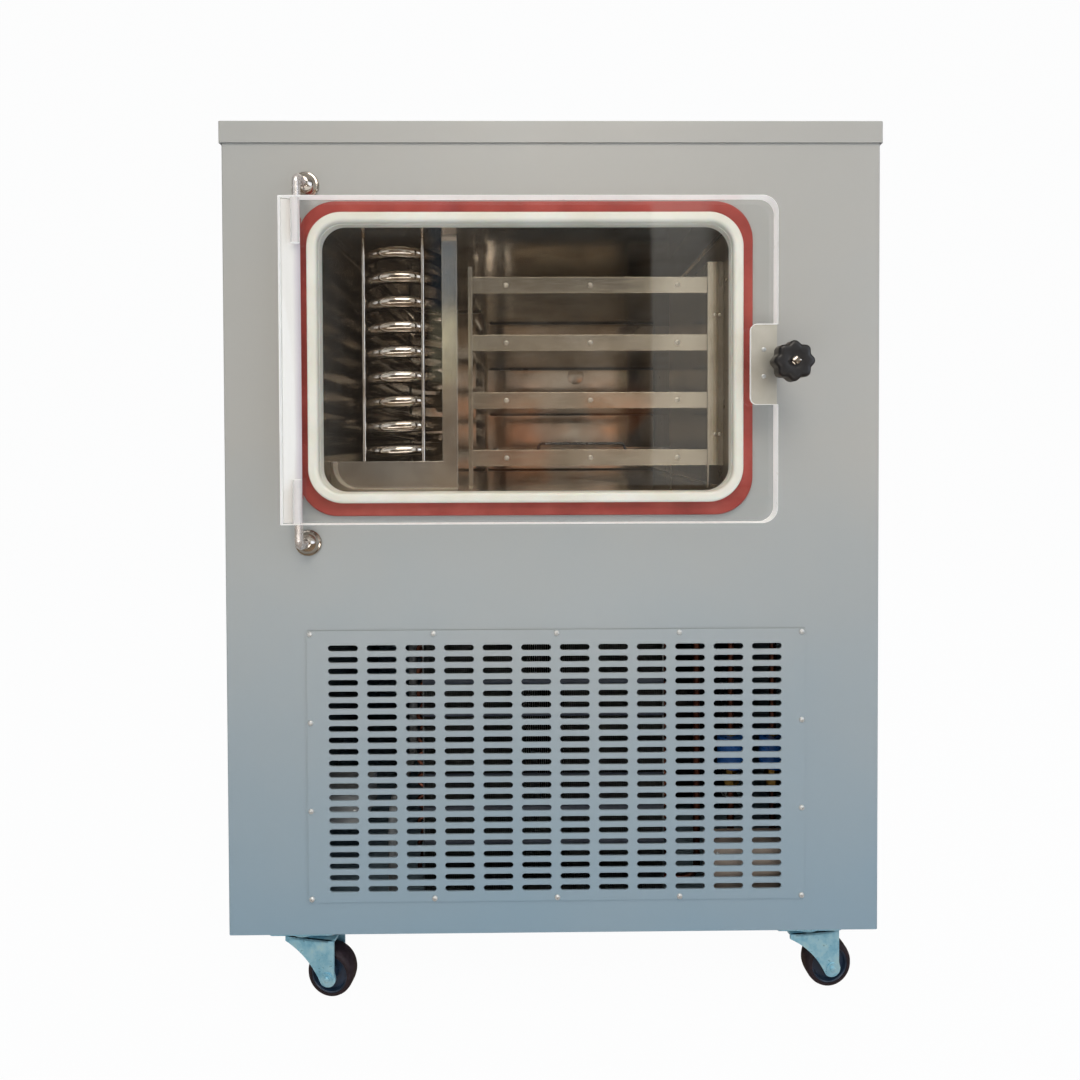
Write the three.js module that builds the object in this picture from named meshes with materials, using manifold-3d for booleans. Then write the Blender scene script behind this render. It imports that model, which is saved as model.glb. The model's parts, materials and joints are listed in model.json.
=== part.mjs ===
// Cabinet freeze dryer: a stainless vacuum chamber with a clear swing door, shelves and a cold-trap coil,
// above an air-cooled refrigeration unit, in a painted sheet-steel cabinet on four swivel casters.
// Millimetres. +X is to the right seen from the front, +Y runs to the rear, +Z is up, and Z = 0 is the floor.

import * as THREE from "three";
import { mergeVertices } from "three/addons/utils/BufferGeometryUtils.js";
import Module from "manifold-3d";

const wasm = await Module();
wasm.setup();

// ---------------------------------------------------------------------------------------------------------
// Driving dimensions
// ---------------------------------------------------------------------------------------------------------

const GAP = 0.3; // left between pieces that touch
const PAST = 2; // how far a cutting tool runs past the face it cuts

const FRONT = -340; // outer face of the front panel; depths below are counted from it, towards the rear
const CABINET = { width: 875, depth: 740, bottom: 98, top: 1183, sheet: 2, bend: 3 };
const COVER = { width: 880, lip: 28, corner: 3 };
const FLANGE = { front: 25, rear: 18, deck: 24, pan: 30 };

const NECK = { x: -35, z: 868 }; // centre line of the chamber, its gasket and its seal
const CHAMBER = { width: 540, height: 350, corner: 12, depth: 540, wall: 3, rim: 35 };
const JACKET = { thickness: 36, corner: 40 };
const GASKET = { width: 562, height: 374, corner: 45, face: 13.5, front: -19.7 };
const SEAL = { width: 594, height: 410, corner: 50, front: -6.3 };

const DOOR = {
  left: -344, right: 283.6, bottom: 656, top: 1069, front: -45, back: -20, corner: 20,
  bevelWidth: 23, bevelDepth: 12,
};
const HINGE = {
  x: -325.7, depth: -32, reach: 30, pin: 5.2, hole: 5.9, bore: 57, insert: 52, bend: 9,
  rosette: 17.5, dome: 9, proud: 14,
};
const STRIP = { thickness: 1.5, margin: 1 };
const POCKET = { left: 249, bottom: 806, top: 907, depth: 8, corner: 8 };
const CLAMP = {
  x: 291, z: 857, bolt: 5, clearance: 0.75, ear: 13, plate: 4, washer: 10, tip: -7, head: 6.8, headDepth: 5,
};
const BOSS = { radius: 12, front: -18, floor: -3 };
const KNOB = { radius: 25, scallop: 3.4, lobes: 8, front: -80, shoulder: -58, back: -50, hub: [14, 13] };

const TRAP = { x: -216, bend: 52, tube: 9, turns: 9, pitch: 34.4, top: 1022, front: 34, length: 290 };
const COIL_ROD = { spacing: 80, depth: 27, radius: 2.5 };
const SCREEN = { x: -149, flange: 20.5, sheet: 1.5, front: 20, depth: 400, sill: 733.5 };
const SHELF = {
  left: -109, right: 212, front: 30, depth: 248, bar: 22, lip: 2, plate: 12,
  count: 4, pitch: 78.6, lowest: 726.2,
};
const POST = { width: 5.7, depth: 8, rear: 262, top: 998 };
const SIDE_PLATE = { sheet: 2, top: 1004.7, footGap: 2 };
const TRAY = { left: -99, right: 202, front: 34, back: 270, height: 9, wall: 1.2, corner: 8 };
const HANDLE = { left: -20, right: 100, front: 40, rise: 18, wire: 1.8, bend: 6 };

const VENT = {
  x: 4, z: 326, width: 666, height: 365, sheet: 2,
  columns: 12, rows: 22, columnPitch: 51.5, rowPitch: 15.43, slot: 40, slotHeight: 8, left: -281, top: 485,
};
const VENT_HOLE = { width: 624, height: 342 };

const CONDENSER = {
  left: -189, right: 161, front: 66, back: 126, top: 470, tube: 4.5, tubes: 6, pitch: 46.4, first: 182,
};
const FAN = {
  x: -14, z: 287, middle: 176, duct: 150, tip: 140, hub: 32, root: 28,
  blades: 5, chord: 80, blade: 2.5, pitch: 28,
};
const SHROUD = { back: 200, sheet: 1.5 };
const MOTOR = { radius: 42, length: 70, shaft: 4.2, arms: 3, arm: 22, armSheet: 4, reach: 165, chamfer: 8 };
const COMPRESSOR = { x: 235, depth: 350, radius: 95, height: 235, base: 118, foot: 100, bolt: 80 };
const SOLENOID = { left: 262, right: 324, depth: 78, coil: 19, low: 281, high: 326, pipe: 5 };
const DISCHARGE = { x: 210, depth: 72, low: 118, high: 490, bend: 22, pipe: 5 };
const TERMINAL_BOX = { left: 218, right: 335, front: 24, back: 64, top: 195 };
const RELAY_BOX = { right: -268, front: 40, back: 110, bottom: 218, top: 262 };
const PORT = { x: 60, z: 900, bore: 11, wall: 3, flange: 20, end: 765 };
const DRAIN = { x: -231, front: 60, back: 200, pipe: 7, rise: 236, bend: 25, spigot: 14, low: 92.5 };
const INLET = {
  x: 300, z: 170, width: 60, height: 50, flange: 3, bodyWidth: 48, bodyHeight: 30, depth: 28,
  socketWidth: 40, socketHeight: 22, socketDepth: 18,
};
const EXHAUST = { columns: 3, rows: 9, width: 80, height: 10, columnPitch: 96, rowPitch: 28 };

const CASTER = {
  wheel: 33, width: 22, trail: 35, plateWidth: 92, plateDepth: 52, top: 97.7, drum: 25, race: 15, kingpin: 5,
  bore: 4.6, axle: 4, foot: 12, heel: 25, toe: 10, fork: 17, forkSheet: 2.5, sides: 18,
};
const CROWN = { low: 81, high: 84 };
const CASTERS = {
  front_left: { x: -341, depth: 28, swivel: -8 },
  front_right: { x: 346, depth: 28, swivel: 5 },
  rear_left: { x: -341, depth: 700, swivel: -95 },
  rear_right: { x: 346, depth: 700, swivel: -80 },
};

const REAR = FRONT + CABINET.depth;
const PAN_FLOOR = CABINET.bottom + 3;
const CHAMBER_FLOOR = NECK.z - CHAMBER.height / 2;
const CHAMBER_CEILING = NECK.z + CHAMBER.height / 2;
const JACKET_BOTTOM = CHAMBER_FLOOR - CHAMBER.wall - JACKET.thickness;
const DECK_TOP = JACKET_BOTTOM - GAP;
const PANEL_TOP = CABINET.top - CABINET.sheet - GAP;

// ---------------------------------------------------------------------------------------------------------
// Finishes
// ---------------------------------------------------------------------------------------------------------

const FINISHES = {
  paint: { color: "#b3b4ae", roughness: 0.45, metalness: 0 },
  stainless: { color: "#b9b6b0", roughness: 0.2, metalness: 1 },
  galvanised: { color: "#9aa0a3", roughness: 0.5, metalness: 0.8 },
  zinc: { color: "#8fa3a6", roughness: 0.35, metalness: 0.9 },
  copper: { color: "#b5714c", roughness: 0.35, metalness: 1 },
  acrylic: { color: "#dfe6e6", roughness: 0.05, metalness: 0, transparent: true, opacity: 0.3 },
  silicone: { color: "#e9e4d6", roughness: 0.6, metalness: 0 },
  redSilicone: { color: "#a5483f", roughness: 0.65, metalness: 0 },
  whiteStrip: { color: "#f4f2ef", roughness: 0.5, metalness: 0 },
  blackPlastic: { color: "#2e2e30", roughness: 0.5, metalness: 0 },
  beigePlastic: { color: "#b5a79c", roughness: 0.6, metalness: 0 },
  greyPlastic: { color: "#9a9c9e", roughness: 0.6, metalness: 0 },
  bluePlastic: { color: "#2f66b0", roughness: 0.4, metalness: 0 },
  foam: { color: "#d8cfa8", roughness: 0.9, metalness: 0 },
  blackEnamel: { color: "#1f2123", roughness: 0.4, metalness: 0.2 },
  tyre: { color: "#4a423c", roughness: 0.8, metalness: 0 },
};

const dryer = new THREE.Group();

function add(name, finish, geometry, parent = dryer) {
  const mesh = new THREE.Mesh(geometry, new THREE.MeshStandardMaterial(FINISHES[finish]));
  mesh.name = name;
  parent.add(mesh);
  return mesh;
}

// ---------------------------------------------------------------------------------------------------------
// Shapes and solids
// ---------------------------------------------------------------------------------------------------------

function toSolid(geometry) {
  const bare = geometry.clone();
  bare.deleteAttribute("normal");
  bare.deleteAttribute("uv");
  const merged = mergeVertices(bare, 1e-4);
  return new wasm.Manifold(
    new wasm.Mesh({
      numProp: 3,
      vertProperties: merged.attributes.position.array,
      triVerts: new Uint32Array(merged.index.array),
    }),
  );
}

function toGeometry(solid) {
  const { vertProperties, triVerts } = solid.getMesh();
  const geometry = new THREE.BufferGeometry();
  geometry.setAttribute("position", new THREE.BufferAttribute(vertProperties, 3));
  geometry.setIndex(new THREE.BufferAttribute(triVerts, 1));
  geometry.computeVertexNormals();
  return geometry;
}

function join(...geometries) {
  return toGeometry(geometries.map(toSolid).reduce((whole, next) => whole.add(next)));
}

function cut(geometry, ...tools) {
  return toGeometry(tools.map(toSolid).reduce((rest, tool) => rest.subtract(tool), toSolid(geometry)));
}

// A rectangle with round corners, centred on (u, v); square corners are given as a radius of 0.
function roundedRect(u, v, width, height, radius) {
  const [u0, u1] = [u - width / 2, u + width / 2];
  const [v0, v1] = [v - height / 2, v + height / 2];
  const r = radius;
  const shape = new THREE.Shape();
  if (r === 0) {
    shape.moveTo(u0, v0).lineTo(u1, v0).lineTo(u1, v1).lineTo(u0, v1);
    return shape;
  }
  shape.absarc(u1 - r, v0 + r, r, -Math.PI / 2, 0);
  shape.absarc(u1 - r, v1 - r, r, 0, Math.PI / 2);
  shape.absarc(u0 + r, v1 - r, r, Math.PI / 2, Math.PI);
  shape.absarc(u0 + r, v0 + r, r, Math.PI, Math.PI * 1.5);
  return shape;
}

function outline(points) {
  return new THREE.Shape(points.map(([u, v]) => new THREE.Vector2(u, v)));
}

// A slot whose round ends are drawn as two flats each, as a hole.
function slot(x, z, length, height) {
  const straight = (length - height) / 2;
  const half = height / 2;
  const corners = [
    [-straight, -half], [straight, -half], [straight + half, 0],
    [straight, half], [-straight, half], [-straight - half, 0],
  ];
  return new THREE.Path(corners.map(([u, v]) => new THREE.Vector2(x + u, z + v)));
}

// A shape drawn in the front view (X, Z), from one depth behind the front panel to another.
function slab(shape, frontDepth, backDepth, curveSegments = 5) {
  const geometry = new THREE.ExtrudeGeometry(shape, {
    depth: backDepth - frontDepth, bevelEnabled: false, curveSegments,
  });
  return geometry.rotateX(Math.PI / 2).translate(0, FRONT + backDepth, 0);
}

// A shape drawn in the plan view (X, Y), from one height to another.
function upright(shape, low, high, curveSegments = 3) {
  const geometry = new THREE.ExtrudeGeometry(shape, {
    depth: high - low, bevelEnabled: false, curveSegments,
  });
  return geometry.translate(0, 0, low);
}

// A shape drawn in the side view (Y, Z), from one X to another.
function alongX(shape, left, right) {
  const turn = new THREE.Matrix4().makeBasis(
    new THREE.Vector3(0, 1, 0), new THREE.Vector3(0, 0, 1), new THREE.Vector3(1, 0, 0),
  );
  const geometry = new THREE.ExtrudeGeometry(shape, { depth: right - left, bevelEnabled: false });
  return geometry.applyMatrix4(turn).translate(left, 0, 0);
}

// A block given by its limits in X, in depth behind the front panel, and in Z.
function block([x0, x1], [d0, d1], [z0, z1]) {
  return new THREE.BoxGeometry(x1 - x0, d1 - d0, z1 - z0)
    .translate((x0 + x1) / 2, FRONT + (d0 + d1) / 2, (z0 + z1) / 2);
}

// A turned solid from [radius, distance along the axis] pairs, in either order round the section.
function turned(profile, sides) {
  const points = profile.map(([radius, along]) => new THREE.Vector2(radius, along));
  if (THREE.ShapeUtils.area(points) < 0) points.reverse();
  return new THREE.LatheGeometry(points, sides);
}

// Turned about a front-to-rear axis through (x, z); the profile is [radius, depth] pairs.
function turnedAlongY(x, z, profile, sides = 16) {
  return turned(profile, sides).translate(x, FRONT, z);
}

// Turned about a vertical axis at (x, depth); the profile is [radius, height] pairs.
function turnedAlongZ(x, depth, profile, sides = 16) {
  return turned(profile, sides).rotateX(Math.PI / 2).translate(x, FRONT + depth, 0);
}

// A path through chosen points, one step of the swept section for each.
class PointPath extends THREE.Curve {
  constructor(points) {
    super();
    this.points = points;
  }
  getPoint(t) {
    const place = t * (this.points.length - 1);
    const index = Math.min(Math.floor(place), this.points.length - 2);
    return this.points[index].clone().lerp(this.points[index + 1], place - index);
  }
  getUtoTmapping(u) {
    return u;
  }
}

function sweptCircle(points, radius, sides) {
  const section = new THREE.Shape();
  for (let i = 0; i < sides; i++) {
    const angle = (i / sides) * 2 * Math.PI;
    section[i === 0 ? "moveTo" : "lineTo"](radius * Math.cos(angle), radius * Math.sin(angle));
  }
  return new THREE.ExtrudeGeometry(section, {
    steps: points.length - 1, extrudePath: new PointPath(points), bevelEnabled: false,
  });
}

// A round rod or pipe through [x, depth, z] corners, each bent to the given radius.
function bentRod(corners, bend, radius, sides = 8, stepsPerBend = 4) {
  const places = corners.map(([x, depth, z]) => new THREE.Vector3(x, FRONT + depth, z));
  const points = [places[0]];
  for (let i = 1; i < places.length - 1; i++) {
    const into = places[i].clone().sub(places[i - 1]).normalize();
    const away = places[i + 1].clone().sub(places[i]).normalize();
    const centre = places[i].clone().addScaledVector(into, -bend).addScaledVector(away, bend);
    for (let step = 0; step <= stepsPerBend; step++) {
      const angle = (step / stepsPerBend) * (Math.PI / 2);
      points.push(centre.clone()
        .addScaledVector(away, -bend * Math.cos(angle))
        .addScaledVector(into, bend * Math.sin(angle)));
    }
  }
  points.push(places[places.length - 1]);
  return sweptCircle(points, radius, sides);
}

// ---------------------------------------------------------------------------------------------------------
// Cabinet
// ---------------------------------------------------------------------------------------------------------

function frontPanel() {
  const { width, sheet, bend, bottom } = CABINET;
  const half = width / 2;
  const [y0, y1] = [FRONT, FRONT + FLANGE.front];
  const folded = new THREE.Shape();
  folded.moveTo(-half, y1);
  folded.lineTo(-half, y0 + bend);
  folded.absarc(-half + bend, y0 + bend, bend, Math.PI, Math.PI * 1.5);
  folded.absarc(half - bend, y0 + bend, bend, -Math.PI / 2, 0);
  folded.lineTo(half, y1);
  folded.lineTo(half - sheet, y1);
  folded.lineTo(half - sheet, y0 + sheet);
  folded.lineTo(-half + sheet, y0 + sheet);
  folded.lineTo(-half + sheet, y1);
  const clearance = 1;
  const mouth = roundedRect(
    NECK.x, NECK.z, GASKET.width + 2 * clearance, GASKET.height + 2 * clearance, GASKET.corner + clearance,
  );
  const vent = roundedRect(VENT.x, VENT.z, VENT_HOLE.width, VENT_HOLE.height, 0);
  return cut(
    upright(folded, bottom, PANEL_TOP),
    slab(mouth, -PAST, sheet + PAST),
    slab(vent, -PAST, sheet + PAST),
  );
}

function sidePanel(side) {
  const outer = (CABINET.width / 2) * side;
  const inner = outer - CABINET.sheet * side;
  const flange = outer - FLANGE.rear * side;
  const start = FRONT + FLANGE.front + GAP;
  const end = REAR - CABINET.sheet - GAP;
  const folded = outline([
    [outer, start], [outer, end - 1], [outer - side, end], [flange, end],
    [flange, end - CABINET.sheet], [inner, end - CABINET.sheet], [inner, start],
  ]);
  return upright(folded, CABINET.bottom, PANEL_TOP);
}

// Flat, with holes for the vacuum line and the power inlet, and rows of exhaust slots behind the fan.
function rearPanel() {
  const [near, far] = [CABINET.depth - CABINET.sheet, CABINET.depth];
  const height = PANEL_TOP - CABINET.bottom;
  const plate = roundedRect(0, CABINET.bottom + height / 2, CABINET.width, height, 0);
  const port = new THREE.Path();
  port.absarc(PORT.x, PORT.z, PORT.bore + PORT.wall + 1, 0, 2 * Math.PI);
  plate.holes.push(port, roundedRect(INLET.x, INLET.z, INLET.bodyWidth + 1, INLET.bodyHeight + 1, 0));
  for (let row = 0; row < EXHAUST.rows; row++) {
    for (let column = 0; column < EXHAUST.columns; column++) {
      const x = FAN.x + (column - (EXHAUST.columns - 1) / 2) * EXHAUST.columnPitch;
      const z = FAN.z + (row - (EXHAUST.rows - 1) / 2) * EXHAUST.rowPitch;
      plate.holes.push(slot(x, z, EXHAUST.width, EXHAUST.height));
    }
  }
  return slab(plate, near, far);
}

function topCover() {
  const middle = FRONT + CABINET.depth / 2;
  const overhang = (COVER.width - CABINET.width) / 2;
  const depth = CABINET.depth + 2 * overhang;
  const outer = roundedRect(0, middle, COVER.width, depth, COVER.corner);
  const inner = roundedRect(
    0, middle, COVER.width - 2 * CABINET.sheet, depth - 2 * CABINET.sheet, COVER.corner - CABINET.sheet,
  );
  return cut(
    upright(outer, CABINET.top - COVER.lip, CABINET.top),
    upright(inner, CABINET.top - COVER.lip - PAST, CABINET.top - CABINET.sheet),
  );
}

// A shallow tray seen from above, open upwards (rim above the floor) or downwards (rim below it).
function foldedTray(floorLow, floorHigh, rimEnd) {
  const half = CABINET.width / 2 - CABINET.sheet - GAP;
  const [near, far] = [FRONT + CABINET.sheet + GAP, REAR - 2 * CABINET.sheet - 2 * GAP];
  const middle = (near + far) / 2;
  const outer = roundedRect(0, middle, 2 * half, far - near, 3);
  const inner = roundedRect(0, middle, 2 * half - 2 * CABINET.sheet, far - near - 2 * CABINET.sheet, 1);
  const low = Math.min(floorLow, rimEnd);
  const high = Math.max(floorHigh, rimEnd);
  const hollow = rimEnd > floorHigh ? [floorHigh, high + PAST] : [low - PAST, floorLow];
  return cut(upright(outer, low, high), upright(inner, ...hollow));
}

function basePan() {
  const pan = foldedTray(CABINET.bottom, PAN_FLOOR, CABINET.bottom + FLANGE.pan);
  const drainHole = turnedAlongZ(DRAIN.x, DRAIN.front,
    [[0, 0], [DRAIN.pipe + 1, 0], [DRAIN.pipe + 1, PAN_FLOOR + PAST], [0, PAN_FLOOR + PAST]]);
  return cut(pan, drainHole);
}

function chamberDeck() {
  const deck = foldedTray(DECK_TOP - 3, DECK_TOP, DECK_TOP - FLANGE.deck);
  return cut(deck, drainHoleAt(DECK_TOP - FLANGE.deck, DECK_TOP + PAST));
}

function drainHoleAt(low, high, radius = DRAIN.pipe + 1) {
  return turnedAlongZ(DRAIN.x, DRAIN.back, [[0, high], [radius, high], [radius, low], [0, low]]);
}

// ---------------------------------------------------------------------------------------------------------
// Vent panel
// ---------------------------------------------------------------------------------------------------------

function ventPanel() {
  const plate = roundedRect(VENT.x, VENT.z, VENT.width, VENT.height, 0);
  for (let row = 0; row < VENT.rows; row++) {
    for (let column = 0; column < VENT.columns; column++) {
      const [x, z] = [VENT.left + column * VENT.columnPitch, VENT.top - row * VENT.rowPitch];
      plate.holes.push(slot(x, z, VENT.slot, VENT.slotHeight));
    }
  }
  return slab(plate, -GAP - VENT.sheet, -GAP);
}

// ---------------------------------------------------------------------------------------------------------
// Chamber, its seals and its insulation
// ---------------------------------------------------------------------------------------------------------

function neckRect(width, height, corner) {
  return roundedRect(NECK.x, NECK.z, width, height, corner);
}

function portBore(radius, near, far) {
  return turnedAlongY(PORT.x, PORT.z, [[0, near], [radius, near], [radius, far], [0, far]]);
}

// The four walls with the flange round the mouth; the back is a plate of its own.
function chamberShell() {
  const { width, height, corner, depth, wall, rim } = CHAMBER;
  const front = CABINET.sheet + GAP;
  const box = slab(neckRect(width + 2 * wall, height + 2 * wall, corner + wall), front, depth - GAP);
  const flange = slab(neckRect(width + 2 * rim, height + 2 * rim, corner + rim), front, front + wall);
  return cut(
    join(box, flange),
    slab(neckRect(width, height, corner), front - PAST, depth + PAST),
    drainHoleAt(CHAMBER_FLOOR - wall - PAST, CHAMBER_FLOOR + PAST, DRAIN.pipe - 1),
  );
}

function chamberBack() {
  const { width, height, corner, depth, wall } = CHAMBER;
  return cut(
    slab(neckRect(width + 2 * wall, height + 2 * wall, corner + wall), depth, depth + wall),
    portBore(PORT.bore, depth - PAST, depth + wall + PAST),
  );
}

function insulationJacket() {
  const wall = CHAMBER.wall + GAP;
  const front = CABINET.sheet + 2 * GAP + CHAMBER.wall;
  const outerWall = CHAMBER.wall + JACKET.thickness;
  const outer = neckRect(CHAMBER.width + 2 * outerWall, CHAMBER.height + 2 * outerWall, JACKET.corner);
  const inner = neckRect(CHAMBER.width + 2 * wall, CHAMBER.height + 2 * wall, CHAMBER.corner + wall);
  const back = CHAMBER.depth + wall;
  return cut(
    slab(outer, front, back + JACKET.thickness),
    slab(inner, front - PAST, back),
    portBore(PORT.bore + PORT.wall + GAP, back - PAST, back + JACKET.thickness + PAST),
    drainHoleAt(JACKET_BOTTOM - PAST, CHAMBER_FLOOR),
  );
}

function mouthGasket() {
  const { width, height, corner, face, front } = GASKET;
  const ring = neckRect(width, height, corner);
  ring.holes.push(neckRect(width - 2 * face, height - 2 * face, corner - face));
  return slab(ring, front, CABINET.sheet);
}

function neckSeal() {
  const ring = neckRect(SEAL.width, SEAL.height, SEAL.corner);
  ring.holes.push(neckRect(GASKET.width + 1, GASKET.height + 1, GASKET.corner + 0.5));
  return slab(ring, SEAL.front, -GAP);
}

// ---------------------------------------------------------------------------------------------------------
// Door, hinges and clamp
// ---------------------------------------------------------------------------------------------------------

function doorPlate() {
  const { left, right, bottom, top, front, back, corner, bevelWidth, bevelDepth } = DOOR;
  const face = new THREE.Shape();
  face.moveTo(left, bottom);
  face.lineTo(right - corner, bottom);
  face.absarc(right - corner, bottom + corner, corner, -Math.PI / 2, 0);
  face.absarc(right - corner, top - corner, corner, 0, Math.PI / 2);
  face.lineTo(left, top);
  const [bevelFront, bevelBack] = [FRONT + back - bevelDepth, FRONT + back];
  const bevel = outline([
    [left - PAST, bevelBack + PAST], [left - PAST, bevelFront], [left, bevelFront],
    [left + bevelWidth, bevelBack], [left + bevelWidth, bevelBack + PAST],
  ]);
  const pocket = roundedRect(
    (POCKET.left + right + 2 * POCKET.corner) / 2, (POCKET.bottom + POCKET.top) / 2,
    right + 2 * POCKET.corner - POCKET.left, POCKET.top - POCKET.bottom, POCKET.corner,
  );
  const pinHole = (low, high) => turnedAlongZ(HINGE.x, HINGE.depth,
    [[0, high], [HINGE.hole, high], [HINGE.hole, low], [0, low]], 16);
  return cut(
    slab(face, front, back, 10),
    upright(bevel, bottom - PAST, top + PAST),
    slab(pocket, front - PAST, front + POCKET.depth),
    pinHole(top - HINGE.bore, top + PAST),
    pinHole(bottom - PAST, bottom + HINGE.bore),
  );
}

// A white strip bonded along the bevelled edge on the hinge side.
function doorEdgeStrip() {
  const { left, bottom, top, back, bevelWidth, bevelDepth } = DOOR;
  const slope = new THREE.Vector2(bevelWidth, bevelDepth).normalize();
  const outward = new THREE.Vector2(-slope.y, slope.x);
  const start = new THREE.Vector2(left, FRONT + back - bevelDepth).addScaledVector(slope, STRIP.margin);
  const end = new THREE.Vector2(left + bevelWidth, FRONT + back).addScaledVector(slope, -STRIP.margin);
  const lift = (corner, distance) => corner.clone().addScaledVector(outward, distance);
  const section = new THREE.Shape([
    lift(start, GAP), lift(end, GAP), lift(end, GAP + STRIP.thickness), lift(start, GAP + STRIP.thickness),
  ]);
  return upright(section, bottom + STRIP.margin, top - STRIP.margin);
}

// A domed rosette on the panel, with a bent rod that ends as the pin in the door's edge.
function hingePost(height, tip) {
  const { x, depth, bend, pin, rosette, dome, proud } = HINGE;
  const base = turnedAlongY(x, height, [[0, -proud], [dome, -proud], [(dome + rosette) / 2 + 2, -proud + 3],
    [rosette, -6], [rosette, -GAP], [0, -GAP]]);
  const rod = bentRod([[x, -proud / 2, height], [x, depth, height], [x, depth, tip]], bend, pin, 10, 4);
  return join(base, rod);
}

const PLATE_BACK = DOOR.front + POCKET.depth - GAP;
const PLATE_FRONT = PLATE_BACK - CLAMP.plate;

function latchPlate() {
  const { x, z, ear } = CLAMP;
  const [left, right] = [POCKET.left + GAP, DOOR.right - GAP];
  const [bottom, top] = [POCKET.bottom + GAP, POCKET.top - GAP];
  const corner = POCKET.corner - GAP;
  const rise = Math.sqrt(ear ** 2 - (x - right) ** 2);
  const angle = Math.atan2(rise, right - x);
  const plate = new THREE.Shape();
  plate.moveTo(right, bottom);
  plate.lineTo(right, z - rise);
  plate.absarc(x, z, ear, -angle, angle);
  plate.lineTo(right, top);
  plate.absarc(left + corner, top - corner, corner, Math.PI / 2, Math.PI);
  plate.absarc(left + corner, bottom + corner, corner, Math.PI, Math.PI * 1.5);
  const hole = new THREE.Path();
  hole.absarc(x, z, CLAMP.bolt + CLAMP.clearance, 0, Math.PI * 2);
  plate.holes.push(hole);
  return slab(plate, PLATE_FRONT, PLATE_BACK, 4);
}

function clampWasher() {
  const { x, z, bolt, clearance, washer } = CLAMP;
  const bore = bolt + clearance;
  const [near, far] = [KNOB.back + GAP, PLATE_FRONT - GAP];
  return turnedAlongY(x, z, [[bore, near], [washer, near], [washer, far], [bore, far], [bore, near]]);
}

function starKnob() {
  const star = new THREE.Shape();
  const points = KNOB.lobes * 6;
  for (let i = 0; i < points; i++) {
    const angle = (i / points) * 2 * Math.PI;
    const radius = KNOB.radius - (KNOB.scallop / 2) * (1 - Math.cos(KNOB.lobes * angle));
    star[i === 0 ? "moveTo" : "lineTo"](
      CLAMP.x + radius * Math.cos(angle), CLAMP.z + radius * Math.sin(angle),
    );
  }
  const hubTop = KNOB.shoulder - 1;
  const hub = [[0, hubTop], [KNOB.hub[0], hubTop], [KNOB.hub[1], KNOB.back], [0, KNOB.back]];
  const bore = CLAMP.bolt + GAP;
  return cut(
    join(slab(star, KNOB.front, KNOB.shoulder), turnedAlongY(CLAMP.x, CLAMP.z, hub)),
    turnedAlongY(CLAMP.x, CLAMP.z, [[0, KNOB.front - PAST], [bore, KNOB.front - PAST],
      [bore, KNOB.back + PAST], [0, KNOB.back + PAST]]),
  );
}

function clampBolt() {
  const { x, z, bolt, tip, head, headDepth } = CLAMP;
  const seat = KNOB.front - GAP;
  const start = KNOB.front - headDepth;
  return join(
    turnedAlongY(x, z, [[0, start], [head, start], [head, seat], [0, seat]], 6),
    turnedAlongY(x, z, [[0, seat - 1], [bolt, seat - 1], [bolt, tip - 1], [bolt - 1.2, tip], [0, tip]], 12),
  );
}

// The threaded boss on the panel; its thread is drawn as a clearance bore that stops short of the panel.
function latchBoss() {
  const { radius, front, floor } = BOSS;
  const bore = CLAMP.bolt + CLAMP.clearance;
  return turnedAlongY(CLAMP.x, CLAMP.z, [[0, floor], [bore, floor], [bore, front], [radius - 1, front],
    [radius, front + 1], [radius, -GAP], [0, -GAP]]);
}

// ---------------------------------------------------------------------------------------------------------
// Inside the chamber
// ---------------------------------------------------------------------------------------------------------

// Front-to-rear oval turns that step down by one pitch each, with tails that run to the rear wall.
function trapCoil() {
  const { x, bend, tube, turns, pitch, top, front, length } = TRAP;
  const stepsPerBend = 6;
  const frontCentre = FRONT + front + tube + bend;
  const rearCentre = frontCentre + length;
  const wall = FRONT + CHAMBER.depth - GAP;
  const perTurn = 2 * (Math.PI * bend + length);
  const points = [new THREE.Vector3(x + bend, wall, 0)];
  const arc = (centre, from, to) => {
    for (let step = 0; step <= stepsPerBend; step++) {
      const angle = from + ((to - from) * step) / stepsPerBend;
      points.push(new THREE.Vector3(x + bend * Math.cos(angle), centre + bend * Math.sin(angle), 0));
    }
  };
  for (let turn = 0; turn < turns; turn++) {
    arc(frontCentre, 0, -Math.PI);
    if (turn < turns - 1) arc(rearCentre, Math.PI, 0);
  }
  points.push(new THREE.Vector3(x - bend, wall, 0));
  const first = (Math.PI * bend) / 2 + wall - frontCentre;
  let travelled = 0;
  const drops = points.map((point, i) => {
    if (i > 0) travelled += point.distanceTo(points[i - 1]);
    return THREE.MathUtils.clamp((travelled - first) / perTurn, 0, turns - 1) * pitch;
  });
  points.forEach((point, i) => point.setZ(top - drops[i]));
  return sweptCircle(points, tube, 6);
}

function coilRod(x) {
  const { depth, radius } = COIL_ROD;
  const [low, high] = [CHAMBER_FLOOR + GAP, CHAMBER_CEILING - GAP];
  return turnedAlongZ(x, depth, [[0, high], [radius, high], [radius, low], [0, low]], 8);
}

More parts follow.
